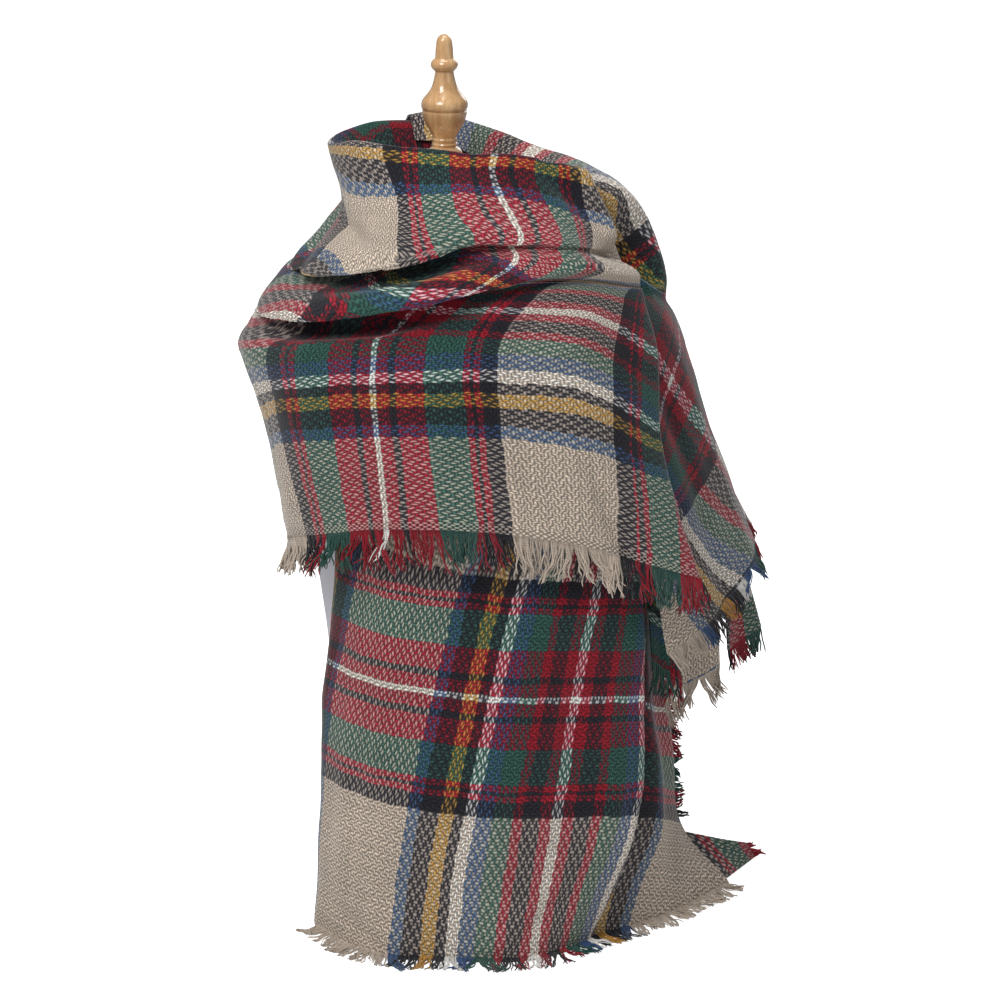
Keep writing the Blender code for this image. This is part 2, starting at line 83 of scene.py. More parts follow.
# ---------------------------------------------------------------- dress form, mm
TORSO_RINGS, TORSO_SIDES = 220, 144
TURNED_SIDES = 128
FOOT_EDGE = 1.5  # chamfer of the torso's foot
# height, half width, half depth
TORSO_SECTIONS = (
    (0, 126, 90), (90, 131, 94), (215, 124, 88), (300, 131, 92), (400, 143, 100),
    (530, 152, 112), (610, 158, 108), (665, 162, 98), (705, 152, 86), (732, 118, 76),
    (752, 78, 67), (766, 62, 62), (806, 62, 62), (812, 58, 58),
)
CAP_PROFILE = ((0, 0), (0, 53.4), (0.6, 54), (8.7, 54), (10.6, 53.4), (12, 52), (12.7, 50), (12.7, 0))
# height above the cap, radius
FINIAL_PROFILE = (
    (0, 16.0), (2, 17.2), (4.5, 18.4), (7.5, 19.1), (10, 19.2), (13, 18.6), (15.5, 17.4), (17.6, 15.2),
    (19, 12.6), (19.6, 12.4), (20.2, 13.0), (21.6, 13.7), (23, 13.1), (23.8, 12.2), (24.6, 13.0),
    (26.2, 13.5), (27.8, 13.1), (28.6, 12.4), (29.5, 12.6), (32, 13.9), (36, 16.0), (40.5, 18.7),
    (45, 21.0), (50, 22.7), (54.5, 23.6), (56.6, 23.6), (57.3, 22.9), (58.2, 22.9), (59, 23.9),
    (61.5, 24.6), (64.5, 24.6), (67.5, 23.8), (70, 22.3), (73.5, 19.2), (78, 15.8), (82, 13.6),
    (87, 12.0), (93, 10.6), (98, 9.8), (98.8, 9.9), (99.4, 11.0), (101, 12.6), (103.2, 13.9),
    (105.5, 14.4), (108, 13.8), (110, 12.6), (111.4, 11.0), (112.2, 9.9), (113, 9.7), (117, 9.4),
    (122, 9.1), (127, 8.6), (131, 8.0), (134, 6.8), (136, 4.9), (137.2, 2.4), (137.6, 0),
)

# ---------------------------------------------------------------- the wound stretches
# Each row of a table runs round the form, and the rows go from the inner edge out and down to the hem.
WRAP_AZIMUTHS = (100, 130, 180, 230, 270, 310, 345, 375, 400, 420)
# name, radii, heights, weft coordinates, warp coordinates
WRAP_ROWS = (
    ("inner_low", (62.6,) * 10, (770, 774, 784, 788, 788, 788, 788, 788, 786, 778),
        (640,) * 10, (-540, -470, -382, -302, -228, -150, -88, -28, 32, 100)),
    ("inner", (88, 86, 80, 86, 106, 99, 84, 86, 101, 124),
        (784, 798, 830, 838, 832, 844, 842, 838, 832, 815),
        (590, 600, 635, 635, 600, 590, 590, 590, 590, 590),
        (-540, -470, -382, -302, -228, -150, -88, -28, 32, 115)),
    ("rim", (118, 104, 89, 100, 123, 112, 93, 95, 125, 165),
        (800, 816, 848, 860, 850, 862, 858, 854, 853, 836),
        (562, 572, 600, 598, 568, 564, 563, 562, 562, 557),
        (-540, -470, -382, -306, -238, -150, -88, -28, 32, 135)),
    ("band", (146, 127, 100, 107, 118, 118, 104, 107, 140, 184),
        (788, 802, 832, 842, 829, 836, 835, 834, 829, 810),
        (530, 540, 562, 558, 530, 533, 533, 535, 532, 537),
        (-550, -475, -390, -316, -255, -165, -92, -26, 45, 148)),
    ("mid", (172, 150, 116, 117, 107, 128, 130, 133, 165, 205),
        (765, 778, 806, 806, 786, 790, 797, 800, 796, 774),
        (485, 492, 508, 504, 478, 492, 492, 492, 500, 508),
        (-565, -495, -408, -345, -292, -228, -107, -30, 42, 170)),
    ("low", (190, 168, 134, 133, 128, 150, 152, 155, 190, 202),
        (740, 752, 778, 774, 756, 755, 767, 783, 778, 755),
        (452, 452, 462, 456, 428, 402, 448, 470, 478, 480),
        (-600, -525, -430, -358, -300, -234, -118, -42, 55, 185)),
    ("lip", (202, 182, 150, 151, 160, 172, 168, 160, 200, 198),
        (716, 728, 756, 742, 724, 728, 749, 769, 770, 751),
        (425, 425, 425, 412, 376, 365, 430, 452, 464, 465),
        (-650, -570, -460, -368, -290, -205, -125, -40, 65, 195)),
    ("crease", (203, 184, 151, 150, 158, 140, 130, 140, 198, 192),
        (711, 723, 751, 738, 718, 733, 752, 766, 766, 747),
        (405, 405, 405, 385, 350, 322, 395, 412, 456, 458),
        (-650, -570, -455, -363, -282, -165, -95, -36, 68, 197)),
    ("roll_top", (206, 187, 155, 160, 176, 168, 160, 162, 205, 206),
        (705, 717, 743, 724, 710, 713, 739, 757, 761, 743),
        (390, 390, 390, 356, 318, 283, 358, 380, 450, 452),
        (-650, -570, -455, -355, -266, -125, -62, -32, 70, 200)),
    ("roll", (210, 193, 162, 172, 192, 190, 185, 175, 214, 224),
        (696, 706, 728, 706, 691, 704, 729, 746, 755, 737),
        (370, 370, 370, 326, 292, 263, 334, 368, 444, 446),
        (-650, -570, -455, -348, -250, -136, -62, -18, 75, 200)),
    ("roll_lip", (214, 198, 168, 184, 205, 203, 195, 185, 221, 234),
        (684, 694, 710, 682, 672, 685, 708, 729, 745, 729),
        (345, 345, 345, 290, 265, 240, 308, 340, 434, 430),
        (-650, -575, -460, -343, -234, -130, -55, 22, 95, 205)),
    ("under_roll", (215, 200, 170, 187, 206, 174, 160, 160, 208, 235),
        (677, 686, 702, 673, 664, 688, 709, 726, 735, 717),
        (325, 325, 325, 270, 245, 223, 250, 300, 360, 365),
        (-650, -575, -460, -342, -222, -118, -25, 50, 130, 240)),
    ("panel_top", (217, 203, 174, 192, 213, 190, 178, 172, 216, 238),
        (668, 676, 690, 658, 652, 670, 692, 711, 726, 709),
        (300, 300, 300, 250, 230, 208, 214, 255, 290, 302),
        (-650, -580, -465, -342, -211, -110, 8, 85, 165, 275)),
    ("bulge", (228, 212, 184, 202, 222, 213, 190, 186, 230, 254),
        (632, 636, 648, 624, 627, 654, 673, 672, 671, 652),
        (250, 250, 250, 215, 200, 190, 188, 188, 200, 247),
        (-655, -590, -485, -345, -202, -102, 21, 116, 208, 300)),
    ("yellow", (245, 222, 192, 202, 196, 206, 192, 190, 235, 262),
        (556, 562, 570, 556, 553, 596, 615, 614, 602, 550),
        (160, 160, 150, 135, 131, 131, 131, 131, 131, 131),
        (-665, -600, -485, -346, -206, -100, 23, 118, 213, 310)),
    ("lower", (255, 228, 196, 196, 183, 200, 195, 195, 240, 283),
        (480, 486, 494, 486, 479, 522, 542, 540, 530, 480),
        (72, 72, 70, 66, 62, 62, 60, 60, 68, 60),
        (-670, -605, -485, -348, -212, -112, 15, 112, 212, 320)),
    ("hem", (262, 232, 198, 190, 172, 190, 198, 200, 245, 310),
        (412, 418, 426, 420, 417, 452, 479, 475, 457, 415),
        (0,) * 10, (-670, -605, -485, -350, -222, -125, 8, 106, 213, 342)),
)
# The fold edge at the right, where the cloth turns under: how far along and how far inwards.
FOLD_EDGE = ((0, 0), (4, 1), (6.5, 3.5), (6.5, 7.5), (4, 10.5), (-8, 12))
FOLD_EDGE_STEPS = 14
PANEL_PARTING = 250  # azimuth where the back hem meets the front hem

DRAPE_AZIMUTHS = (60, 78, 95, 125, 155, 185, 205)
DRAPE_FOLD = 6  # the row where the drape is folded, so that the other face shows below it
DRAPE_ROWS = (
    ("inner", (72, 70, 70, 72, 70, 72, 77), (768, 775, 782, 800, 822, 836, 838),
        (620, 634, 645, 668, 718, 764, 796), (80, 105, 130, 165, 188, 199, 205)),
    ("crest", (130, 140, 134, 112, 94, 88, 92), (811, 822, 822, 832, 849, 864, 862),
        (575, 592, 609, 668, 720, 766, 796), (130, 160, 188, 214, 225, 230, 232)),
    ("rim", (146, 168, 166, 126, 106, 99, 104), (817, 820, 815, 826, 842, 857, 855),
        (550, 578, 600, 672, 728, 778, 808), (135, 175, 208, 230, 238, 242, 245)),
    ("collar", (162, 192, 196, 150, 122, 107, 105), (804, 800, 792, 804, 822, 842, 843),
        (517, 567, 594, 678, 744, 800, 830), (150, 195, 235, 262, 264, 260, 257)),
    # At azimuths 78 and 95 the warp coordinates of the shoulder, arm and tuck rows keep the light beige out
    # of most of the shoulder hollow, so navy and darker stripes lie there: partly the cloth's own stripes,
    # partly painted shade for the hollow.
    ("shoulder", (178, 206, 218, 178, 142, 120, 108), (784, 772, 760, 772, 796, 824, 834),
        (487, 563, 588, 684, 764, 830, 868), (165, 229, 264, 300, 296, 282, 268)),
    ("arm", (188, 216, 232, 200, 160, 134, 112), (750, 735, 716, 728, 766, 806, 826),
        (470, 545, 580, 686, 776, 850, 890), (185, 261, 305, 345, 330, 304, 276)),
    ("tuck", (192, 222, 238, 214, 176, 146, 115), (722, 706, 682, 694, 738, 790, 819),
        (445, 530, 574, 686, 784, 866, 910), (205, 285, 338, 380, 362, 322, 284)),
    ("under", (190, 220, 239, 217, 180, 149, 117), (716, 699, 672, 685, 730, 784, 816),
        (657, 607, 582, 466, 360, 256, 196), (228, 278, 352, 390, 438, 478, 500)),
    ("upper", (197, 228, 252, 230, 192, 156, 119), (694, 674, 646, 660, 708, 770, 811),
        (692, 632, 602, 473, 357, 246, 190), (249, 299, 379, 416, 462, 490, 500)),
    ("middle", (214, 250, 284, 258, 212, 170, 124), (606, 578, 548, 582, 656, 736, 799),
        (737, 673, 637, 494, 352, 225, 178), (269, 388, 469, 494, 516, 518, 500)),
    ("lower", (246, 285, 316, 284, 228, 180, 132), (464, 456, 460, 512, 608, 704, 786),
        (802, 720, 672, 513, 347, 205, 164), (464, 518, 554, 564, 565, 543, 500)),
    ("hem", (274, 305, 342, 304, 242, 190, 138), (325, 352, 398, 464, 574, 684, 776),
        (847, 781, 704, 526, 343, 192, 152), (604, 612, 614, 612, 600, 560, 500)),
)

# Stations go from the tail's tucked left edge round the front, the sharp fold at the right and in
# behind it, out to the fringed side.
# name, height, x, y, weft coordinate, height of the warp's white line
TAIL_ROWS = (
    ("chest", 700, (-48, -80, -94, -52, 10, 68, 104, 100, 118, 134),
        (-84.6, -76.6, -85, -98, -101, -98, -88, -78, -70, -60),
        (-400, -360, -345, -270, -190, -110, 20, 44, 70, 120)),
    ("bust", 640, (-50, -90, -106, -56, 15, 85, 140, 134, 158, 168),
        (-106, -94, -100, -118, -124, -118, -94, -78, -62, -30),
        (-395, -350, -335, -262, -182, -103, 24, 48, 78, 130)),
    ("top", 560, (-52, -104, -113, -60, 20, 110, 176, 164, 186, 192),
        (-121, -100, -106, -140, -150, -140, -108, -84, -50, 5),
        (-390, -342, -325, -250, -172, -92, 32, 54, 88, 145)),
    ("hidden", 470, (-54, -104, -112, -58, 24, 112, 200, 178, 204, 206),
        (-116, -94, -106, -158, -166, -156, -120, -94, -56, 18),
        (-385, -332, -311, -238, -158, -77, 42, 62, 98, 160)),
    ("upper", 376, (-58, -108, -117, -60, 22, 112, 208, 186, 216, 218),
        (-112, -93, -109, -169, -177, -166, -125, -100, -60, 26),
        (-370, -320, -296, -216, -137, -49, 68, 88, 120, 185)),
    ("middle", 270, (-62, -118, -129, -66, 18, 110, 210, 188, 224, 234),
        (-112, -92, -110, -174, -184, -173, -128, -102, -60, 28),
        (-365, -309, -282, -198, -118, -30, 88, 104, 138, 206)),
    ("knee", 180, (-66, -121, -132, -72, 12, 106, 211, 190, 234, 250),
        (-114, -92, -110, -178, -190, -179, -132, -106, -60, 26),
        (-353, -298, -270, -185, -107, -17, 89, 106, 143, 212)),
    ("beige", 112, (-68, -125, -136, -76, 8, 100, 198, 184, 240, 253),
        (-115, -93, -112, -180, -194, -184, -144, -118, -62, 24),
        (-350, -293, -265, -179, -98, -14, 91, 101, 152, 224)),
    ("low", 60, (-70, -128, -139, -80, 4, 92, 177, 176, 240, 266),
        (-116, -94, -114, -183, -198, -194, -158, -132, -70, 18),
        (-352, -292, -264, -177, -96, -13, 94, 110, 172, 242)),
    ("floor", 8, (-74, -132, -141, -84, 0, 84, 150, 166, 238, 314),
        (-118, -96, -116, -186, -204, -204, -166, -142, -90, 2),
        (-346, -286, -258, -173, -95, -12, 76, 112, 190, 262)),
    ("hem", 0, (-74, -132, -141, -84, 0, 84, 150, 166, 238, 314),
        (-118, -96, -116, -186, -204, -204, -166, -142, -90, 2),
        (-346, -286, -258, -173, -95, -12, 76, 112, 190, 262)),
)
TAIL_WHITE_LINE = (306, 306, 306, 303, 293, 284, 271, 262, 236, 198)  # its height at each station
TAIL_SEEN = 420  # height above which the tail is hidden, and its stripes are drawn out to twice the size, which lifts the light beige so that darker stripes lie behind the wrap's fringe: partly the cloth's own stripes, partly painted shade
TAIL_SEEN_ROW = 3  # the lengths across are taken from here down
TAIL_LEFT, TAIL_EDGE = 2, 9  # the stations where the floor's fringe starts and where the cloth ends
TAIL_FLOOR_ROW = 9
TAIL_END = -180  # the warp's beige runs on to the tail's hem from here

# Folded layers that hang from the inside of the drape, below its hem.
# name, row of the drape and azimuths of the seat, the hem's two ends, thread coordinates at the seat
DRAPE_LAYERS = (
    ("inner_fold", 9, (64, 72), (222, -84, 300), (256, -66, 268), (60, 340)),
    ("under_fold", 9.5, (74, 87), (238, -52, 243), (300, -16, 270), (-420, 398)),
    ("corner_fold", 9.5, (92, 103), (310, 10, 278), (350, 52, 292), (20, 374)),
)
LAYER_GRID = 30
LAYER_INSET = 2.6  # mm from the drape's face in to a layer's seat
LAYER_RIPPLE = (2.2, 7, 2, 1.5)  # mm, turns across and down in radians, and how it grows downwards
CORNER_ROWS = (8, 9)  # of the tail's rows, which the corner joins
CORNER_TIP = ((340, 62, 26), (352, 78, 3))
CORNER_THREADS = (124, 170)
CORNER_GAP = 0.3

# ---------------------------------------------------------------- creases
# name, path of (column, row) on the stretch, half width, depth (a ridge is negative)
WRAP_CREASES = (
    ("collar_dip", ((345, 3.2), (352, 4.4), (362, 5.6)), 16, 3.5),
    ("collar_ridge", ((366, 2.6), (372, 4.0), (378, 5.4)), 18, -3),
    ("front_pull", ((388, 3.0), (392, 4.5), (396, 6.0)), 14, 3.5),
    ("nick", ((296, 4.1), (316, 4.4), (328, 4.8)), 8, 8),
    ("nick_ridge", ((296, 5.2), (312, 5.1), (326, 5.3)), 12, -5),
    ("under_lip", ((316, 7.8), (340, 7.9), (356, 7.9), (384, 7.8)), 12, 13),
    ("under_roll", ((290, 11.7), (320, 11.8), (346, 11.9), (380, 11.9)), 12, 13),
    ("shoulder_valley", ((404, 2.2), (411, 3.2), (418, 4.0)), 11, 7),
    ("lip_turn", ((292, 6.6), (318, 6.9), (342, 7.1), (366, 7.2)), 13, 6),
    ("pinch", ((381, 13.1), (388, 12.5), (402, 12.4)), 8, 6),
    ("pinch_ridge", ((384, 13.4), (394, 13.1), (404, 12.9)), 9, -4),
    ("pleat", ((398, 14.6), (402, 15.2), (406, 16)), 7, 7),
    ("pleat_ridge", ((404, 14.8), (408, 15.4), (412, 16)), 9, -4),
    ("panel_soft_left", ((318, 12.8), (328, 13.8), (330, 15.2)), 22, 4),
    ("panel_soft_mid", ((352, 13.0), (358, 14.2), (356, 15.8)), 26, -3.5),
    ("panel_soft_right", ((374, 13.4), (380, 14.6), (378, 16)), 20, 3.5),
    ("hem_dip_left", ((334, 15.2), (336, 16)), 14, 3),
    ("hem_dip_mid", ((366, 15.4), (368, 16)), 12, -3),
    ("left_sweep", ((262, 4.0), (282, 5.2), (300, 6.2)), 15, 5),
    ("left_sweep_ridge", ((250, 4.6), (272, 5.6), (290, 6.4)), 12, -3.5),
    ("left_roll", ((248, 9.2), (268, 10.2), (292, 10.6)), 10, 4),
    ("left_fall", ((276, 12.8), (284, 14.0), (288, 15.8)), 18, 7),
    ("left_fall_ridge", ((262, 12.9), (266, 14.2), (266, 15.6)), 18, -5),
    ("left_fall_back", ((246, 12.8), (250, 14.2), (248, 16)), 20, 7),
    ("back_drag", ((238, 3.4), (222, 4.8), (206, 6.2)), 16, 5),
    ("back_drag_low", ((216, 4.6), (198, 5.6), (184, 6.6)), 12, -4),
    ("back_roll", ((232, 9.0), (214, 10.2), (196, 10.8)), 11, 4),
    ("back_fall_a", ((232, 12.8), (229, 14.4), (231, 16)), 20, -6),
    ("back_fall_b", ((214, 12.7), (210, 14.0), (212, 16)), 18, 8),
    ("back_fall_c", ((196, 13.0), (193, 14.4), (191, 16)), 22, -6),
    ("back_fall_d", ((178, 12.9), (174, 14.2), (175, 16)), 16, 7),
    ("back_fall_e", ((160, 13.0), (156, 14.6), (158, 16)), 20, -6),
    ("back_fall_f", ((142, 12.8), (139, 14.2), (138, 16)), 18, 7),
    ("back_fall_g", ((122, 13.0), (119, 14.6), (121, 16)), 18, -5),
)
DRAPE_CREASES = (
    ("shoulder_hollow", ((66, 3.0), (71, 4.2), (74, 5.2), (76, 6.4), (76, 7.4)), 12, 46),
    ("hollow_wide", ((71, 3.4), (76, 4.5), (80, 5.6), (81, 6.8)), 19, 22),
    ("hollow_lip", ((76, 2.4), (84, 3.8), (88, 5.2), (87, 6.2)), 12, -5),
    ("collar_fall_back", ((112, 2.4), (112, 3.6), (108, 5.2)), 16, -4),
    ("arm_pull", ((140, 3.2), (126, 4.6), (112, 6.0)), 15, 6),
    ("arm_pull_low", ((156, 4.6), (140, 6.2), (124, 7.8)), 14, -5),
    ("front_fall", ((72, 8.2), (76, 9.4), (80, 11)), 15, 5),
    ("front_ridge", ((84, 8.0), (88, 9.6), (90, 11)), 15, -5),
    ("side_fall", ((98, 8.2), (100, 9.6), (99, 11)), 15, 6),
    ("side_ridge", ((108, 8.0), (112, 9.4), (111, 11)), 17, -6),
    ("back_fall", ((120, 7.8), (125, 9.2), (124, 11)), 17, 7),
    ("back_ridge", ((134, 7.6), (139, 9.2), (138, 11)), 18, -6),
    ("back_fall_low", ((148, 7.4), (153, 9.0), (152, 11)), 16, 6),
    ("neck_fall", ((168, 5.4), (171, 8.0), (169, 11)), 14, 4),
)
TAIL_CREASES = (
    ("long_dip", ((3.5, 3.6), (3.4, 5.2), (3.2, 7.4)), 22, 4),
    ("long_ridge", ((4.5, 3.6), (4.5, 5.6), (4.4, 8.4)), 26, -4),
    ("right_dip", ((5.2, 4.2), (5.25, 6.0), (5.2, 7.8)), 20, 4),
    ("right_ridge", ((5.7, 5.2), (5.65, 6.8), (5.5, 9)), 12, -3.5),
    ("low_drag", ((4.8, 8.9), (5.2, 8.2), (5.8, 7.4)), 12, 4),
    ("low_drag_ridge", ((4.2, 9), (4.8, 8.4), (5.4, 7.6)), 13, -3),
    ("side_fall", ((8.1, 4.2), (8.2, 6.0), (8.2, 8.6)), 16, 5),
    ("side_ridge", ((8.6, 4.6), (8.6, 6.4), (8.7, 8.8)), 14, -5),
    ("left_turn", ((2.5, 4.6), (2.5, 6.4), (2.6, 8.8)), 14, -3),
    ("left_buckle", ((2.1, 8.2), (2.8, 8.6), (3.4, 9)), 9, 3),
)
CREASE_SAMPLES = 28
CREASE_FADE = 0.7  # how fully a crease keeps its depth towards its ends

# Slow waves of the whole cloth: amplitude mm, how many units of cloth one takes along and across.
CLOTH_WAVES = ((0.9, 210, 150), (0.6, 90, 170), (0.45, 130, 60), (0.25, 48, 75))
WAVE_BEND = 0.6  # how far the waves along bend with the waves across, in radians
DRAW = 11  # seed of all random draws
FEWEST_QUADS = 3  # between two rows or columns of a table

# ---------------------------------------------------------------- fringes
# name: length, lean off the cloth, how far the strands curl, how soon they hang from their threads'
# direction down to the table, which sett colours them
FRINGES = {
    "front_hem": (42, 0.20, 5.4, 1.5, "warp"),
    "back_hem": (42, 0.20, 5.4, 1.5, "warp"),
    "drape_hem": (31, 0.10, 1.8, 0.9, "weft"),
    "inner_fold": (34, 0.05, 2.6, 1.0, "warp"),
    "under_fold": (36, 0.05, 3.6, 1.0, "beige"),
    "corner_fold": (28, 0.12, 2.2, 0.8, "warp"),
    "tail_hem": (29, 1.0, 5.0, 1.0, "weft"),
    "tail_side": (15, 1.0, 1.8, 1.0, "warp"),
    "tail_corner": (13, 1.0, 1.2, 1.0, "warp"),
}
SETT_COLUMN = {"warp": 0, "weft": 1, "beige": 0}  # which thread coordinate runs along the hem
SIDE_FRINGE_ROWS = (3.6, 7.7)
FLOOR_HEM_HEIGHT = 0.6  # share of the tail's floor row's height where its fringe starts
# The ways that strands start in at the tail: how far down at its hem, then along its side and corner.
TAIL_HEM_DIP = -0.3
TAIL_SIDE_WAY = (0.8, 0.45, -0.45)
TAIL_CORNER_WAY = (0.86, 0.5, 0.0)
HIGH_LEAN = (0.4, 480, 180)  # extra lean high up, the height where it starts and its reach
# How clumps and strands differ, as shares of the length where it doesn't say otherwise.
STRAND_RINGS, STRAND_SIDES = 10, 4
SIDES_TURN = 0.4  # radians
FEWEST_STRANDS = 4
STRAND_PLACE = (0.2, 0.8)  # where a strand stands in its own stretch of the hem
CLUMP_STRANDS = (5, 15)  # fewest and most strands that cling together
CLUMP_CLING, CLING = (0.35, 1.0), 0.5  # how far the tips close up towards the clump's middle
CLUMP_SWAY, STRAND_SWAY, SWAY_CURVE = 0.22, 0.12, 1.4  # sideways
CLUMP_LIFT, STRAND_LIFT, LIFT_CURVE = (0.04, 0.09), 0.06, 1.3  # off the cloth
CLUMP_REACH, STRAND_REACH = (0.78, 1.1), (0.86, 1.06)
STRAND_WAVES, WAVE_SIZE = (0.8, 1.7), 0.5  # how many, and their size as a share of the curl
ROOT_SPREAD = 0.35  # mm
STRAND_THICK = (0.8, 1.2)  # shares of the radius
STRAND_TAPER = ((0, 0.1, 0.85, 1), (1.1, 1, 0.95, 0.6))  # places along a strand, thickness there
FLOOR_GAP = 1.3  # mm between the lowest strands' middle and the table
FLOOR_EASE = 2  # mm above that in which strands come to lie
LOWEST = 0.4  # mm

# ---------------------------------------------------------------- stage
CAMERA_PLACE = (0.0584, -3.5, 1.491)
CAMERA_TILT = 16.5  # degrees down
CAMERA_LENS = 120.6
SENSOR = 36
FLOOR_SIZE = 14.0
BACKDROP = 3.2  # radius of the backdrop's bend
# name, place, size, power, colour
LIGHTS = (
    ("key", (-1.2, -2.3, 3.1), 1.4, 73, (1.0, 0.985, 0.96)),
    ("fill", (2.4, -2.6, 1.3), 1.6, 7, (0.95, 0.98, 1.0)),
    ("top", (-0.1, -0.1, 2.9), 1.2, 20, (1.0, 1.0, 1.0)),
    ("back", (1.2, 2.6, 1.8), 1.4, 14, (1.0, 1.0, 1.0)),
)
AIM = (0.05, 0.0, 0.45)
WORLD_STRENGTH = 0.21
STAGE_GLOW = 0.9
STAGE_SHADES = ((0.93, 0.93, 0.93, 1), (0.96, 0.96, 0.96, 1))
STAGE_CLOUDS = 1.2
BACKDROP_STEPS = 24
STAGE_HEIGHT = -0.0002

# ---------------------------------------------------------------- weave
# Each pick of the weft floats over two ends of the warp and under two. The four picks of a repeat
# start at the ends 0, 1, 3 and 2, so the floats slant one way and then the other.
FLOAT = (0.90, 0.50, 0.30)  # half length in ends, half width in picks, and lean of a float
STITCH = 0.62  # half length, in ends, of the plain stitches in the band along a hem
HEM_BAND = 8.0  # units
NOWHERE = -4000.0  # a thread coordinate off every stretch
END_WIDTH = 0.42  # half width of an end
END_DIP = 0.70  # how far it dips under the picks
THREAD_WANDER = ((0.035, 5.0), (0.16, 2.0))  # scale of the noise, units that it moves a thread
THREAD_SHADES = (0.86, 1.12)  # of the darkest and lightest ends and picks
CROSSING = 0.12  # half the height over which one thread gives way to the other
NAP = 0.18  # how much the brushed fibres of one thread colour the other
PAINTED_WEAVE_SHADING = (-0.25, 0.38, 1.45, 1.5)  # height that the deepest gaps have, painted shade deep in the gaps and painted highlight on the floats' tops, curve
# Noises over a surface: scale, detail, the values that are spread out and the shades that they give.
FIBRES = (0.9, 3.0, 0.25, 0.75, 0.84, 1.16)
CLOTH_CLOUDS = (0.012, 2.0, 0.3, 0.7, 0.93, 1.07)
JERSEY_RIBS = (700.0, 2.0, 0.3, 0.7, 0.95, 1.03)
JERSEY_CLOUDS = (9.0, 3.0, 0.3, 0.7, 0.96, 1.03)
WOOD_PORES = (900.0, 2.0, 0.3, 0.6, 0.82, 1.05)
FIBRE_HEIGHT = 0.35
YARN_SHADES = (0.72, 1.16)
YARN_TWIST, TWIST_PAINTED_SHADES = 2.6, (0.82, 1.06)  # radians along each unit, and the painted shade and highlight round the twist
GRAIN_DRAWN = (1.0, 0.55, 0.10)  # the wood's figure is drawn out along the height
GRAIN = (95.0, 6.0, 0.8)  # scale, detail and distortion of the figure
GRAIN_EDGES = (0.34, 0.66)


# ---------------------------------------------------------------- settings
def colour_setting(name, description, default):
    return bpy.props.FloatVectorProperty(
        name=name, description=description, subtype="COLOR", size=3, min=0, max=1, default=default
    )


class ScarfYarns(bpy.types.PropertyGroup):
    """Colours of the yarns, of the form's cover and of its wood."""

    red: colour_setting("Red", "Red yarn", (0.31, 0.010, 0.024))
    green: colour_setting("Green", "Green yarn", (0.030, 0.098, 0.080))
    navy: colour_setting("Navy", "Darkest yarn", (0.017, 0.017, 0.025))
    blue: colour_setting("Blue", "Blue yarn", (0.045, 0.10, 0.24))
    ochre: colour_setting("Ochre", "Golden yarn", (0.58, 0.30, 0.055))
    white: colour_setting("White", "White yarn", (0.88, 0.86, 0.83))
    beige: colour_setting("Beige", "Beige yarn", (0.60, 0.505, 0.42))
    cover: colour_setting("Cover", "Stretch cover of the form", (0.74, 0.74, 0.81))
    wood: colour_setting("Wood", "Light grain of the varnished wood", (0.80, 0.52, 0.26))
    wood_dark: colour_setting("Wood grain", "Dark grain of the varnished wood", (0.58, 0.31, 0.13))


class ScarfSettings(bpy.types.PropertyGroup):
    """Sizes of the cloth and its fringes."""

    thickness: bpy.props.FloatProperty(
        name="Thickness", description="Thickness of the cloth", default=0.002, min=0.001, unit="LENGTH"
    )
    end_pitch: bpy.props.FloatProperty(
        name="End pitch", description="Distance between the warp's ends", default=0.0036, unit="LENGTH"
    )
    pick_pitch: bpy.props.FloatProperty(
        name="Pick pitch", description="Distance between the weft's picks", default=0.0021, unit="LENGTH"
    )
    strand_pitch: bpy.props.FloatProperty(
        name="Strand pitch", description="Distance between fringe strands", default=0.0012, unit="LENGTH"
    )
    strand_radius: bpy.props.FloatProperty(
        name="Strand radius", description="Radius of a fringe strand", default=0.0009, unit="LENGTH"
    )
    mesh_step: bpy.props.FloatProperty(
        name="Mesh step", description="Length of the cloth's quads", default=0.0042, unit="LENGTH"
    )


# ---------------------------------------------------------------- smooth curves through tables
def weights(knots, places):
    """Rows of weights: weights @ values is a smooth curve through the values at the knots."""
    knots = np.asarray(knots, float)
    places = np.clip(np.asarray(places, float), knots[0], knots[-1])
    count = len(knots)
    unit_rows = np.eye(count)
    span = np.diff(knots)
    slope = (unit_rows[1:] - unit_rows[:-1]) / span[:, None]
    tangent = np.empty((count, count))
    tangent[0], tangent[-1] = slope[0], slope[-1]
    for i in range(1, count - 1):
        tangent[i] = (slope[i - 1] * span[i] + slope[i] * span[i - 1]) / (span[i - 1] + span[i])
    left = np.clip(np.searchsorted(knots, places, side="right") - 1, 0, count - 2)
    step = span[left][:, None]
    t = ((places - knots[left])[:, None]) / step
    return (
        (2 * t**3 - 3 * t**2 + 1) * unit_rows[left]
        + (t**3 - 2 * t**2 + t) * step * tangent[left]
        + (3 * t**2 - 2 * t**3) * unit_rows[left + 1]
        + (t**3 - t**2) * step * tangent[left + 1]
    )


def row_weights(count, rows, fold=None):
    """Rows of weights for a table's rows. After a fold a curve of its own starts, one row on."""
    if fold is None:
        return weights(range(count), rows)
    above, below = weights(range(fold + 1), rows), weights(range(fold + 1, count), rows)
    share = np.clip(np.asarray(rows, float) - fold, 0, 1)[:, None]
    return np.concatenate([above * (1 - share), below * share], axis=1)


def blend(table, rows, knots, columns, fold=None):
    return row_weights(len(table), rows, fold) @ np.array(table, float) @ weights(knots, columns).T


def unit(vectors):
    return vectors / np.maximum(np.linalg.norm(vectors, axis=-1, keepdims=True), 1e-9)


def headings(points):
    stretches = unit(np.diff(points, axis=0))
    return unit(np.concatenate([stretches[:1], stretches[:-1] + stretches[1:], stretches[-1:]]))


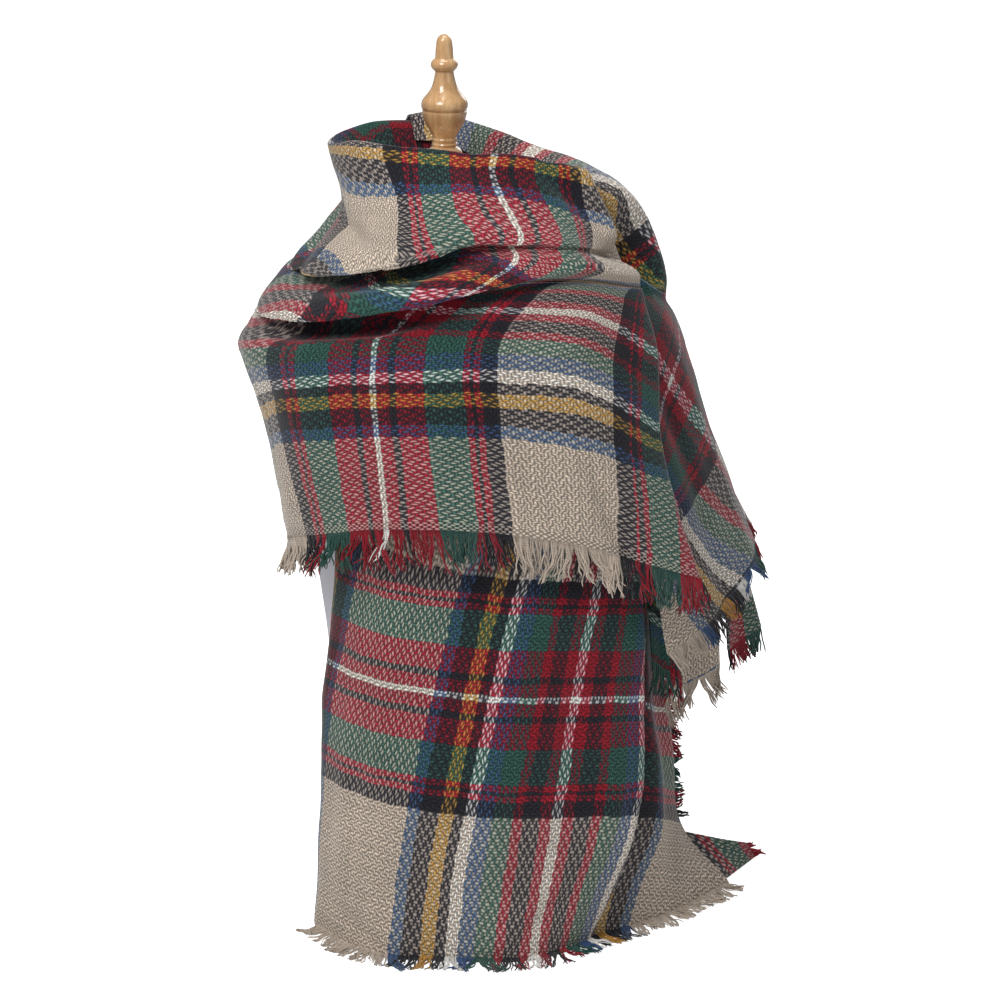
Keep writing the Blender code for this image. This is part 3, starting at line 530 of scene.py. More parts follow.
def face_normals(points):
    along = headings(points.transpose(1, 0, 2)).transpose(1, 0, 2)
    return unit(np.cross(headings(points), along))


def refined(knots, lengths, step):
    """Places from the first knot to the last, about a step apart along the gaps' lengths."""
    places = [float(knots[0])]
    for low, high, length in zip(knots, knots[1:], lengths):
        count = max(FEWEST_QUADS, round(length / step))
        places += [low + (high - low) * (i + 1) / count for i in range(count)]
    return np.array(places)


# ---------------------------------------------------------------- stretches of cloth
@dataclass
class Stretch:
    """A grid of points in mm on a cloth's face, and each point's thread coordinates."""

    points: np.ndarray
    threads: np.ndarray
    rows: np.ndarray
    columns: np.ndarray

    @property
    def normals(self):
        return face_normals(self.points)

    def at(self, grid, columns, rows):
        """Values of one of the grids at fractional columns and rows."""
        x = np.interp(columns, self.columns, np.arange(len(self.columns)))
        y = np.interp(rows, self.rows, np.arange(len(self.rows)))
        i = np.clip(y.astype(int), 0, len(self.rows) - 2)
        j = np.clip(x.astype(int), 0, len(self.columns) - 2)
        v, u = (y - i)[:, None], (x - j)[:, None]
        low = grid[i, j] * (1 - u) + grid[i, j + 1] * u
        high = grid[i + 1, j] * (1 - u) + grid[i + 1, j + 1] * u
        return low * (1 - v) + high * v

    def creased(self, creases):
        """Pushes soft troughs and ridges into the face along listed paths."""
        flat = self.points.reshape(-1, 3)
        push = np.zeros(len(flat))
        for _, path, width, depth in creases:
            share = np.linspace(0, 1, CREASE_SAMPLES)
            path = weights(range(len(path)), share * (len(path) - 1)) @ np.array(path, float)
            spine = self.at(self.points, path[:, 0], path[:, 1])
            best = np.full(len(flat), np.inf)
            place = np.zeros(len(flat))
            for point, t in zip(spine, share):
                distance = ((flat - point) ** 2).sum(1)
                nearer = distance < best
                best[nearer] = distance[nearer]
                place[nearer] = t
            ends_at_hem = path[-1, 1] >= self.rows[-1]
            fade = np.sin(np.pi * (place / 2 if ends_at_hem else place)) ** CREASE_FADE
            push -= depth * fade * np.exp(-best / width**2)
        self.points = self.points + (push[:, None] * self.normals.reshape(-1, 3)).reshape(self.points.shape)
        return self

    def waved(self):
        """Adds the slow waves of hanging cloth."""
        draw = np.random.default_rng(DRAW)
        push = np.zeros(self.points.shape[:2])
        for amplitude, along, across in CLOTH_WAVES:
            phases = draw.uniform(0, 2 * np.pi, 3)
            a = self.threads[..., 0] * 2 * np.pi / along + phases[0]
            b = self.threads[..., 1] * 2 * np.pi / across + phases[1]
            push += amplitude * np.sin(a + WAVE_BEND * np.sin(b + phases[2])) * np.cos(b)
        self.points = self.points + push[..., None] * self.normals
        return self


def ring_stretch(table, knots, step, fold=None):
    """The stretch through a table of rings of radii, heights and thread coordinates."""

    def grids(columns, rows):
        radius, height = (blend([row[k] for row in table], rows, knots, columns) for k in (1, 2))
        weft, warp = (blend([row[k] for row in table], rows, knots, columns, fold) for k in (3, 4))
        turn = np.radians(columns)[None, :]
        points = np.stack([radius * np.sin(turn), -radius * np.cos(turn), height], -1)
        return points, np.stack([warp, weft], -1)

    coarse = grids(np.array(knots, float), range(len(table)))[0]
    down = np.linalg.norm(np.diff(coarse, axis=0), axis=-1).mean(1)
    radius = np.linalg.norm(coarse[..., :2], axis=-1).mean()
    round_lengths = np.radians(np.diff(knots)) * radius
    rows = refined(range(len(table)), down, step)
    columns = refined(knots, round_lengths, step)
    points, threads = grids(columns, rows)
    return Stretch(points, threads, rows, columns)


def with_fold_edge(stretch, azimuth):
    """Carries the last column on round a tight turn, and back under it."""
    turn = math.radians(azimuth)
    out = np.array([math.sin(turn), -math.cos(turn), 0])
    on = np.array([math.cos(turn), math.sin(turn), 0])
    places = np.linspace(0, len(FOLD_EDGE) - 1, FOLD_EDGE_STEPS + 1)[1:]
    offsets = weights(range(len(FOLD_EDGE)), places) @ np.array(FOLD_EDGE, float)
    border = stretch.points[:, -1]
    added = np.stack([border + on * along - out * inwards for along, inwards in offsets], axis=1)
    walked = np.cumsum(np.linalg.norm(np.diff([(0, 0), *offsets], axis=0), axis=1)) / UNIT
    threads = np.repeat(stretch.threads[:, -1:], len(offsets), axis=1)
    threads[..., 0] += walked
    stretch.points = np.concatenate([stretch.points, added], axis=1)
    stretch.threads = np.concatenate([stretch.threads, threads], axis=1)
    stretch.columns = np.concatenate([stretch.columns, azimuth + places])
    return stretch


@cache
def wrap_stretch(step):
    stretch = with_fold_edge(ring_stretch(WRAP_ROWS, WRAP_AZIMUTHS, step), WRAP_AZIMUTHS[-1])
    stretch.threads[..., 1] -= HEM_TO_PIVOT
    return stretch.creased(WRAP_CREASES).waved()


@cache
def drape_stretch(step):
    stretch = ring_stretch(DRAPE_ROWS, DRAPE_AZIMUTHS, step, DRAPE_FOLD)
    stretch.threads -= (DRAPE_TO_PIVOT, HEM_TO_PIVOT)
    return stretch.creased(DRAPE_CREASES).waved()


@cache
def tail_stretch(step):
    knots = range(len(TAIL_ROWS[0][2]))

    def grids(stations, rows):
        x, y, weft = (blend([row[k] for row in TAIL_ROWS], rows, knots, stations) for k in (2, 3, 4))
        height = weights(range(len(TAIL_ROWS)), rows) @ np.array([row[1] for row in TAIL_ROWS], float)
        height = np.broadcast_to(height[:, None], x.shape)
        white = (weights(knots, stations) @ np.array(TAIL_WHITE_LINE, float))[None, :]
        # Drawing the stripes out above this height puts darker stripes behind the wrap's fringe instead of
        # the light beige: partly the cloth's own stripes, partly painted shade.
        hidden = np.maximum(height - TAIL_SEEN, 0)
        return np.stack([x, y, height], -1), np.stack([(height - white - hidden / 2) / UNIT, weft], -1)

    coarse = grids(knots, range(len(TAIL_ROWS)))[0]
    down = np.linalg.norm(np.diff(coarse, axis=0), axis=-1).mean(1)
    across = np.linalg.norm(np.diff(coarse[TAIL_SEEN_ROW:], axis=1), axis=-1).mean(0)
    rows, columns = refined(range(len(TAIL_ROWS)), down, step), refined(knots, across, step)
    points, threads = grids(columns, rows)
    stretch = Stretch(points, threads, rows, columns)
    stretch.creased(TAIL_CREASES).waved()
    stretch.points[..., 2] = np.maximum(stretch.points[..., 2], 0)
    stretch.points[-1, :, 2] = 0
    return stretch


def patch(first, last, steps, origin, along_warp):
    """A stretch between two lines of points, with threads that run on from an origin."""
    share = np.linspace(0, 1, steps)
    points = first[None] * (1 - share)[:, None, None] + last[None] * share[:, None, None]
    down = np.linalg.norm(last - first, axis=1).mean() / UNIT
    across = np.linalg.norm(np.diff(last, axis=0), axis=1).sum() / UNIT
    columns = np.linspace(0, 1, points.shape[1])
    u, v = np.meshgrid(columns * across, -share * down)
    threads = np.stack([u, v] if along_warp else [v, u], -1) + np.array(origin, float)
    return Stretch(points, threads, share, columns)


def layer_stretch(step, row, azimuths, hem_left, hem_right, origin):
    """A layer that hangs from a line on the inside of the drape."""
    drape = drape_stretch(step)
    columns = np.linspace(*azimuths, LAYER_GRID)
    rows = np.full(LAYER_GRID, float(row))
    seat = drape.at(drape.points, columns, rows) - drape.at(drape.normals, columns, rows) * LAYER_INSET
    share = np.linspace(0, 1, LAYER_GRID)[:, None]
    hem = np.array(hem_left, float) * (1 - share) + np.array(hem_right, float) * share
    stretch = patch(seat, hem, LAYER_GRID * 2, origin, along_warp=True)
    u, v = np.meshgrid(stretch.columns, stretch.rows)
    size, turns_across, turns_down, growth = LAYER_RIPPLE
    push = size * np.sin(u * turns_across + v * turns_down) * v**growth
    stretch.points = stretch.points + push[..., None] * stretch.normals
    return stretch


def corner_stretch(step, thickness):
    """The far corner of the tail, which runs out along the table."""
    tail = tail_stretch(step)
    rows = np.linspace(*CORNER_ROWS, LAYER_GRID)
    columns = np.full(LAYER_GRID, float(TAIL_EDGE))
    inwards = tail.at(tail.normals, columns, rows) * (thickness + CORNER_GAP)
    seat = tail.at(tail.points, columns, rows) - inwards
    share = np.linspace(0, 1, LAYER_GRID)[:, None]
    tip = np.array(CORNER_TIP[0], float) * (1 - share) + np.array(CORNER_TIP[1], float) * share
    stretch = patch(seat, tip, LAYER_GRID, CORNER_THREADS, along_warp=False)
    stretch.points = stretch.points.transpose(1, 0, 2)
    stretch.threads = stretch.threads.transpose(1, 0, 2)
    return stretch


# ---------------------------------------------------------------- meshes
def mesh_object(name, vertices, faces, material, threads=None, sharp=50):
    mesh = bpy.data.meshes.new(name)
    mesh.from_pydata((vertices * MM).tolist(), [], faces.tolist())
    if threads is not None:
        layer = mesh.uv_layers.new(name=CLOTH_UV)
        corners = np.empty(len(mesh.loops), dtype=np.int32)
        mesh.loops.foreach_get("vertex_index", corners)
        layer.data.foreach_set("uv", (threads[corners] * MM).astype(np.float32).ravel())
    mesh.shade_smooth()
    mesh.set_sharp_from_angle(angle=math.radians(sharp))
    mesh.materials.append(material)
    thing = bpy.data.objects.new(name, mesh)
    bpy.context.scene.collection.objects.link(thing)
    return thing


def grid_faces(index):
    corners = (index[:-1, :-1], index[1:, :-1], index[1:, 1:], index[:-1, 1:])
    return np.stack(corners, -1).reshape(-1, 4)


def cloth_object(name, stretch, thickness, material):
    """The stretch as a thin closed shell with rims."""
    rows, columns = stretch.points.shape[:2]
    count = rows * columns
    back_points = stretch.points - stretch.normals * thickness / MM
    back_points[..., 2] = np.maximum(back_points[..., 2], 0)
    vertices = np.concatenate([stretch.points.reshape(-1, 3), back_points.reshape(-1, 3)])
    index = np.arange(count).reshape(rows, columns)
    face = grid_faces(index)
    border = np.concatenate([index[0], index[1:, -1], index[-1, -2::-1], index[-2:0:-1, 0]])
    following = np.roll(border, -1)
    rim = np.stack([border, following, following + count, border + count], -1)
    faces = np.concatenate([face, face[:, ::-1] + count, rim])
    threads = np.tile(stretch.threads.reshape(-1, 2), (2, 1))
    return mesh_object(name, vertices, faces, material, threads)


def turned_object(name, profile, sides, material):
    """A profile of heights and radii, from the bottom up, turned round the axis."""
    turn = np.linspace(0, 2 * np.pi, sides, endpoint=False)
    heights, across, deep = (np.array([row[k] for row in profile], float) for k in (0, 1, -1))
    x = across[:, None] * np.sin(turn)
    y = -deep[:, None] * np.cos(turn)
    vertices = np.stack([x, y, np.broadcast_to(heights[:, None], x.shape)], -1).reshape(-1, 3)
    index = np.arange(len(vertices)).reshape(len(profile), sides)
    faces = grid_faces(np.concatenate([index, index[:, :1]], axis=1))[:, ::-1]
    return mesh_object(name, vertices, faces, material, sharp=40)


# ---------------------------------------------------------------- fringes
@dataclass
class Hem:
    """A line of points that strands hang from.

    It has the way out of the cloth, the way that they start, the way that they end up and threads.
    """

    points: np.ndarray
    outward: np.ndarray
    start: np.ndarray
    down: np.ndarray
    threads: np.ndarray


def strand_paths(hem, pitch, length, curl, droop, draw):
    """The middles of loose yarns, in clumps that cling together towards their tips.

    Also each strand's way out of the cloth, its threads and how far it has run at each point.
    """
    steps = np.linalg.norm(np.diff(hem.points, axis=0), axis=1)
    walked = np.concatenate([[0], np.cumsum(steps)])
    count = max(FEWEST_STRANDS, round(walked[-1] / pitch))
    places = (np.arange(count) + draw.uniform(*STRAND_PLACE, count)) / count * walked[-1]

    def along(grid):
        return np.stack([np.interp(places, walked, column) for column in grid.T], 1)

    root, outward, down = along(hem.points), unit(along(hem.outward)), unit(along(hem.down))
    start, threads = unit(along(hem.start)), along(hem.threads)
    side = unit(np.cross(down, outward))
    heading = unit(along(np.gradient(hem.points, axis=0)))
    side *= np.sign((side * heading).sum(1, keepdims=True))
    clump = np.repeat(np.arange(count), draw.integers(*CLUMP_STRANDS, count))[:count]
    clumps = clump[-1] + 1
    middle = np.bincount(clump, places) / np.bincount(clump)
    to_middle = (middle[clump] - places)[:, None]
    sway = draw.normal(0, CLUMP_SWAY, clumps)[clump][:, None]
    lift = draw.normal(*CLUMP_LIFT, clumps)[clump][:, None]
    turn = draw.normal(0, 1, clumps)[clump][:, None]
    cling = draw.uniform(*CLUMP_CLING, clumps)[clump][:, None]
    reach = length * draw.uniform(*CLUMP_REACH, clumps)[clump] * draw.uniform(*STRAND_REACH, count)
    sway = sway + draw.normal(0, STRAND_SWAY, (count, 1))
    lift = lift + draw.normal(0, STRAND_LIFT, (count, 1))
    phase = draw.uniform(0, 2 * np.pi, (count, 1))
    waves = draw.uniform(*STRAND_WAVES, (count, 1))
    t = np.linspace(0, 1, STRAND_RINGS)[None, :]
    bend = t**2 * (3 - 2 * t)
    run = t * reach[:, None]
    wave = phase + waves * 2 * np.pi * t
    across = to_middle * bend * cling * CLING
    across = across + sway * t**SWAY_CURVE * reach[:, None]
    across = across + curl * (WAVE_SIZE * np.sin(wave) + turn * bend) * t
    out = lift * t**LIFT_CURVE * reach[:, None]
    out = out + curl * WAVE_SIZE * np.cos(wave) * t + draw.normal(0, ROOT_SPREAD, (count, 1))
    fallen = np.where(t * droop < 1, t - droop * t**2 / 2, 0.5 / droop)[..., None] * reach[:, None, None]
    path = root[:, None] + start[:, None] * fallen + down[:, None] * (run[..., None] - fallen)
    path = path + side[:, None] * across[..., None] + outward[:, None] * out[..., None]
    low = path[..., 2] - FLOOR_GAP
    eased = FLOOR_GAP + FLOOR_EASE * np.exp(np.minimum(low, FLOOR_EASE) / FLOOR_EASE - 1)
    path[..., 2] = np.where(low < FLOOR_EASE, eased, path[..., 2])
    return path, outward, threads, run


def tubes(path, outward, thick):
    """Vertices of slim tubes round paths, as a grid of strands, rings and sides, and their faces."""
    way = unit(np.gradient(path, axis=1))
    first = unit(np.cross(way, outward[:, None]))
    second = np.cross(way, first)
    turn = np.arange(STRAND_SIDES) * 2 * np.pi / STRAND_SIDES + SIDES_TURN
    ring = first[..., None, :] * np.cos(turn)[:, None] + second[..., None, :] * np.sin(turn)[:, None]
    vertices = path[..., None, :] + ring * thick[..., None, None]
    vertices[..., 2] = np.maximum(vertices[..., 2], LOWEST)
    index = np.arange(vertices.size // 3).reshape(vertices.shape[:3])
    closed = np.concatenate([index, index[..., :1]], axis=2)
    walls = np.stack([closed[:, :-1, :-1], closed[:, 1:, :-1], closed[:, 1:, 1:], closed[:, :-1, 1:]], -1)
    return vertices, np.concatenate([walls.reshape(-1, 4), index[:, -1], index[:, 0, ::-1]])


def strands(name, hem, pitch, radius, material):
    """A fringe of loose yarns along a hem, each in the colour of the threads that it comes from."""
    length, _, curl, droop, sett = FRINGES[name]
    draw = np.random.default_rng(DRAW + sum(map(ord, name)))
    path, outward, threads, run = strand_paths(hem, pitch, length, curl, droop, draw)
    taper = np.interp(np.linspace(0, 1, STRAND_RINGS)[None, :], *STRAND_TAPER)
    thick = radius * draw.uniform(*STRAND_THICK, (len(path), 1)) * taper
    vertices, faces = tubes(path, outward, thick)
    u = np.broadcast_to(threads[:, SETT_COLUMN[sett]][:, None, None], vertices.shape[:3])
    v = np.broadcast_to(run[..., None], vertices.shape[:3])
    coordinates = np.stack([u, v], -1).reshape(-1, 2)
    return mesh_object("loose_" + name, vertices.reshape(-1, 3), faces, material, coordinates, sharp=180)


def hanging(points, outward, lean):
    """Mostly down, leaning off the cloth, and more so high up where it lies on a slope."""
    extra, start, span = HIGH_LEAN
    slope = lean + extra * np.clip((points[:, 2:] - start) / span, 0, 1)
    return np.concatenate([outward[:, :2] * slope, np.full((len(points), 1), -1.0)], axis=1)


def hem_of(stretch, name, thickness, columns=slice(None)):
    """The hem along a stretch's last row, whose strands start along the threads that end there."""
    _, lean, _, _, sett = FRINGES[name]
    points, outward = stretch.points[-1, columns], stretch.normals[-1, columns]
    middle = points - outward * thickness / MM / 2
    down = hanging(points, outward, lean)
    on, below = (np.gradient(stretch.points, axis=k)[-1, columns] for k in (1, 0))
    counted = stretch.threads[..., SETT_COLUMN[sett]]
    turn, fall = (np.gradient(counted, axis=k)[-1, columns, None] for k in (1, 0))
    start = unit(below * turn - on * fall)
    start *= np.sign((start * below).sum(-1, keepdims=True))
    return Hem(middle, outward, start, down, stretch.threads[-1, columns])


# ---------------------------------------------------------------- node trees
class Tree:
    """Short calls for building a node tree."""

    def __init__(self, tree):
        self.tree = tree

    def add(self, kind, **settings):
        node = self.tree.nodes.new("ShaderNode" + kind)
        for name, value in settings.items():
            setattr(node, name, value)
        return node

    def plug(self, sockets, values):
        """Links or sets each socket."""
        for socket, value in zip(sockets, values):
            if isinstance(value, bpy.types.NodeSocket):
                self.tree.links.new(value, socket)
            else:
                socket.default_value = value

    def feed(self, node, **inputs):
        self.plug([node.inputs[name.replace("_", " ")] for name in inputs], inputs.values())
        return node

    def maths(self, operation, *values):
        node = self.add("Math", operation=operation)
        self.plug(node.inputs, values)
        return node.outputs[0]

    def span(self, value, low, high, to_low=0.0, to_high=1.0):
        node = self.add("MapRange")
        self.feed(node, Value=value, From_Min=low, From_Max=high, To_Min=to_low, To_Max=to_high)
        return node.outputs[0]

    def mix(self, share, first, second, blend_type="MIX"):
        node = self.add("Mix", data_type="RGBA", blend_type=blend_type)
        self.plug([node.inputs[k] for k in (0, 6, 7)], (share, first, second))
        return node.outputs[2]

    def between(self, share, first, second):
        node = self.add("Mix", data_type="FLOAT")
        self.plug([node.inputs[k] for k in (0, 2, 3)], (share, first, second))
        return node.outputs[0]

    def tinted(self, colour, other, share):
        """A colour that fibres of another one lie over."""
        own, lent = self.add("Gamma"), self.add("Gamma")
        self.feed(own, Color=colour, Gamma=1 - share)
        self.feed(lent, Color=other, Gamma=share)
        return self.mix(1.0, own.outputs[0], lent.outputs[0], "MULTIPLY")

    def stripes(self, sett, yarns, place):
        """Colours of a sett at a coordinate, mirrored about its first and last stripes' middles."""
        half = sum(width for _, width in sett)
        folded = self.maths("DIVIDE", self.maths("PINGPONG", place, half), half)
        node = self.add("ValToRGB")
        ramp = node.color_ramp
        ramp.interpolation = "CONSTANT"
        start = 0.0
        for i, (name, width) in enumerate(sett):
            stop = ramp.elements[0] if i == 0 else ramp.elements.new(start / half)
            stop.color = (*getattr(yarns, name), 1)
            start += width
        ramp.elements.remove(ramp.elements[len(sett)])
        self.tree.links.new(folded, node.inputs[0])
        return node.outputs[0]


def new_group(name, inputs, outputs):
    """A shader node group with named sockets, given as (name, socket type, default)."""
    group = bpy.data.node_groups.new(name, "ShaderNodeTree")
    for label, kind, default in inputs:
        socket = group.interface.new_socket(label, in_out="INPUT", socket_type="NodeSocket" + kind)
        if default is not None:
            socket.default_value = default
    for label, kind in outputs:
        group.interface.new_socket(label, in_out="OUTPUT", socket_type="NodeSocket" + kind)
    return group, Tree(group), group.nodes.new("NodeGroupInput"), group.nodes.new("NodeGroupOutput")


def covered(tree, pick, end, tight):
    """1 where a pick passes over an end, and the end that the pick's float starts at."""
    turn = tree.maths("FLOORED_MODULO", pick, 4.0)
    late = tree.maths("GREATER_THAN", turn, 1.5)
    start = tree.maths("MULTIPLY_ADD", late, tree.maths("MULTIPLY_ADD", turn, -2.0, 5.0), turn)
    past = tree.maths("FLOORED_MODULO", tree.maths("SUBTRACT", end, start), 4.0)
    twill = tree.maths("LESS_THAN", past, 2.0)
    plain = tree.maths("FLOORED_MODULO", tree.maths("ADD", end, pick), 2.0)
    return tree.between(tight, twill, plain), start, late


def yarn_heights(tree, x, y, pick, end, tight):
    """How high the weft and the warp lie at a place counted in ends and picks."""
    length, width, lean = FLOAT
    over, start, late = covered(tree, pick, end, tight)
    middle = tree.maths("SUBTRACT", tree.maths("SUBTRACT", y, pick), 0.5)
    forth = tree.maths("ADD", tree.maths("SUBTRACT", x, start), 1.0)
    forth = tree.maths("SUBTRACT", tree.maths("FLOORED_MODULO", forth, 4.0), 2.0)
    stitch = tree.maths("ADD", tree.maths("ADD", x, pick), 0.5)
    stitch = tree.maths("SUBTRACT", tree.maths("FLOORED_MODULO", stitch, 2.0), 1.0)
    off = tree.maths("MULTIPLY_ADD", forth, tree.maths("MULTIPLY_ADD", late, -2 * lean, lean), middle)
    off = tree.maths("DIVIDE", tree.between(tight, off, middle), width)
    near = tree.between(tight, tree.maths("DIVIDE", forth, length), tree.maths("DIVIDE", stitch, STITCH))
    weft = tree.maths("ADD", tree.maths("MULTIPLY", off, off), tree.maths("MULTIPLY", near, near))
    beside, _, _ = covered(tree, tree.maths("ADD", pick, tree.maths("SIGN", middle)), end, tight)
    under = tree.between(tree.maths("ABSOLUTE", middle), over, beside)
    side = tree.maths("DIVIDE", tree.maths("SUBTRACT", tree.maths("SUBTRACT", x, end), 0.5), END_WIDTH)
    warp = tree.maths("MULTIPLY_ADD", under, 2 * END_DIP, tree.maths("MULTIPLY", side, side))
    return tree.maths("SUBTRACT", 1.0, weft), tree.maths("SUBTRACT", 1.0, warp)


def units_of(tree, given):
    """The thread coordinates of a group's input, in units, as three sockets."""
    scaled = tree.add("VectorMath", operation="SCALE")
    tree.feed(scaled, Vector=given.outputs["Threads"], Scale=1 / MM)
    split = tree.add("SeparateXYZ")
    tree.feed(split, Vector=scaled.outputs[0])
    return scaled.outputs[0], split.outputs[0], split.outputs[1]


def noise(tree, place, scale, detail=2.0, dimensions="2D"):
    node = tree.add("TexNoise", noise_dimensions=dimensions)
    return tree.feed(node, Vector=place, Scale=scale, Detail=detail)


def shades(tree, place, pattern, dimensions="2D"):
    """The values of a noise and the shades that they give."""
    scale, detail, *spread = pattern
    value = noise(tree, place, scale, detail, dimensions).outputs["Fac"]
    return value, tree.span(value, *spread)


def weave_group(yarns, sizes):
    """A broken twill of thick yarns: each shows as floats in its own stripe's colour, with painted shade
    deep in the gaps and a painted highlight on the floats' tops.
    """
    inputs = (
        ("Threads", "Vector", None), ("Warp Ends", "Float", NOWHERE),
        ("Hem", "Float", NOWHERE), ("Fineness", "Float", 1.0),
    )
    group, tree, given, result = new_group("tartan_weave", inputs, (("Color", "Color"), ("Height", "Float")))
    place, warp, weft = units_of(tree, given)
    tight = tree.maths("LESS_THAN", weft, tree.maths("ADD", given.outputs["Hem"], HEM_BAND))
    places = [warp, weft]
    for scale, reach in THREAD_WANDER:
        shift = tree.add("SeparateColor")
        tree.feed(shift, Color=noise(tree, place, scale).outputs["Color"])
        about = [tree.maths("SUBTRACT", shift.outputs[k], 0.5) for k in (0, 1)]
        places = [tree.maths("MULTIPLY_ADD", about[k], reach, places[k]) for k in (0, 1)]
    per_end = sizes.end_pitch / MM / UNIT
    per_pick = tree.maths("DIVIDE", sizes.pick_pitch / MM / UNIT, given.outputs["Fineness"])
    x, y = tree.maths("DIVIDE", places[0], per_end), tree.maths("DIVIDE", places[1], per_pick)
    end, pick = tree.maths("FLOOR", x), tree.maths("FLOOR", y)
    high_weft, high_warp = yarn_heights(tree, x, y, pick, end, tight)
    colours = []
    for sett, lane, pitch, ends in (
        (WARP_SETT, end, per_end, given.outputs["Warp Ends"]), (WEFT_SETT, pick, per_pick, NOWHERE)
    ):
        middle = tree.maths("MULTIPLY", tree.maths("ADD", lane, 0.5), pitch)
        colour = tree.stripes(sett, yarns, tree.maths("MAXIMUM", middle, ends))
        random = tree.add("TexWhiteNoise", noise_dimensions="1D")
        tree.feed(random, W=lane)
        bright = tree.span(random.outputs["Value"], 0, 1, *THREAD_SHADES)
        colours.append(tree.mix(1.0, colour, bright, "MULTIPLY"))
    over = tree.span(tree.maths("SUBTRACT", high_weft, high_warp), -CROSSING, CROSSING)
    seen = [tree.tinted(first, second, NAP) for first, second in (colours, colours[::-1])]
    colour = tree.mix(over, *seen)
    # Painted shade and highlight: the colour darkens down into the gaps between threads and lightens on the
    # floats' tops, as light falls on the weave's relief.
    deepest, painted_gap_shade, painted_top_highlight, curve = PAINTED_WEAVE_SHADING
    top = tree.span(tree.maths("MAXIMUM", high_weft, high_warp), deepest, 1.0)
    shade = tree.maths("MULTIPLY_ADD", tree.maths("POWER", top, curve), painted_top_highlight - painted_gap_shade, painted_gap_shade)
    fibres, fibre_shade = shades(tree, place, FIBRES)
    _, cloud_shade = shades(tree, place, CLOTH_CLOUDS)
    shade = tree.maths("MULTIPLY", tree.maths("MULTIPLY", shade, fibre_shade), cloud_shade)
    height = tree.maths("MULTIPLY_ADD", fibres, FIBRE_HEIGHT, top)
    tree.feed(result, Color=tree.mix(1.0, colour, shade, "MULTIPLY"), Height=height)
    return group


def yarn_group(yarns, sett):
    """Twisted strands, coloured by the stripe that they come out of, with painted shade round the twist."""
    inputs = (("Threads", "Vector", None),)
    group, tree, given, result = new_group("yarn_" + sett, inputs, (("Color", "Color"), ("Height", "Float")))
    place, across, along = units_of(tree, given)
    table = {"warp": WARP_SETT, "weft": WEFT_SETT, "beige": (("beige", 1),)}[sett]
    colour = tree.stripes(table, yarns, across)
    random = tree.add("TexWhiteNoise", noise_dimensions="1D")
    tree.feed(random, W=across)
    shade = tree.span(random.outputs["Value"], 0, 1, *YARN_SHADES)
    # Painted shade round the twist: the colour darkens where the same wave that feeds the bump dips.
    twist = tree.maths("SINE", tree.maths("MULTIPLY", along, YARN_TWIST))
    shade = tree.maths("MULTIPLY", shade, tree.span(twist, -1, 1, *TWIST_PAINTED_SHADES))
    tree.feed(result, Color=tree.mix(1.0, colour, shade, "MULTIPLY"), Height=twist)
    return group


def jersey_group(yarns):
    """A smooth stretch cover: fine ribs and a faint cloudiness."""
    inputs = (("Place", "Vector", None),)
    group, tree, given, result = new_group("jersey", inputs, (("Color", "Color"), ("Height", "Float")))
    ribs, rib_shade = shades(tree, given.outputs["Place"], JERSEY_RIBS, "3D")
    _, cloud_shade = shades(tree, given.outputs["Place"], JERSEY_CLOUDS, "3D")
    shade = tree.maths("MULTIPLY", rib_shade, cloud_shade)
    tree.feed(result, Color=tree.mix(1.0, (*yarns.cover, 1), shade, "MULTIPLY"), Height=ribs)
    return group


def wood_group(yarns):
    """Long pale and dark grain with pores, as it shows on turned beech."""
    inputs = (("Place", "Vector", None),)
    group, tree, given, result = new_group("wood_grain", inputs, (("Color", "Color"), ("Height", "Float")))
    drawn = tree.add("Mapping")
    tree.feed(drawn, Vector=given.outputs["Place"], Scale=GRAIN_DRAWN)
    scale, detail, distortion = GRAIN
    figure = noise(tree, drawn.outputs[0], scale, detail, "3D")
    tree.feed(figure, Distortion=distortion)
    pores, pore_shade = shades(tree, drawn.outputs[0], WOOD_PORES, "3D")
    share = tree.span(figure.outputs["Fac"], *GRAIN_EDGES)
    colour = tree.mix(share, (*yarns.wood_dark, 1), (*yarns.wood, 1))
    tree.feed(result, Color=tree.mix(1.0, colour, pore_shade, "MULTIPLY"), Height=pores)
    return group


def finish(name, group, coordinate, bump, constants, values):
    """A material whose shader is fed by a group's colour and height."""
    made = bpy.data.materials.new(name)
    made.use_nodes = True
    tree = Tree(made.node_tree)
    shader = made.node_tree.nodes["Principled BSDF"]
    if coordinate == CLOTH_UV:
        place = tree.add("UVMap", uv_map=CLOTH_UV).outputs["UV"]
    else:
        place = tree.add("TexCoord").outputs[coordinate]
    pattern = tree.add("Group")
    pattern.node_tree = group
    tree.plug(pattern.inputs[:1], (place,))
    tree.feed(pattern, **values)
    strength, distance = bump
    raised = tree.add("Bump")
    tree.feed(raised, Strength=strength, Distance=distance, Height=pattern.outputs["Height"])
    tree.feed(shader, Base_Color=pattern.outputs["Color"], Normal=raised.outputs[0])
    for label, value in constants.items():
        shader.inputs[label].default_value = value
    return made


WOOL = {
    "Roughness": 0.95,
    "Specular IOR Level": 0.25,
    "Sheen Weight": 0.30,
    "Sheen Roughness": 0.45,
}
COVER = {"Roughness": 0.9}
VARNISH = {
    "Roughness": 0.34,
    "Coat Weight": 1.0,
    "Coat Roughness": 0.05,
    "Coat IOR": 1.52,
}
# Bumps: strength, and distance in metres.
CLOTH_BUMP, YARN_BUMP = (0.4, 0.0005), (0.5, 0.0003)
COVER_BUMP, WOOD_BUMP = (0.3, 0.0002), (0.05, 0.0002)
SIDE_FINENESS = 1.35  # the drape's picks lie closer than the wrap's


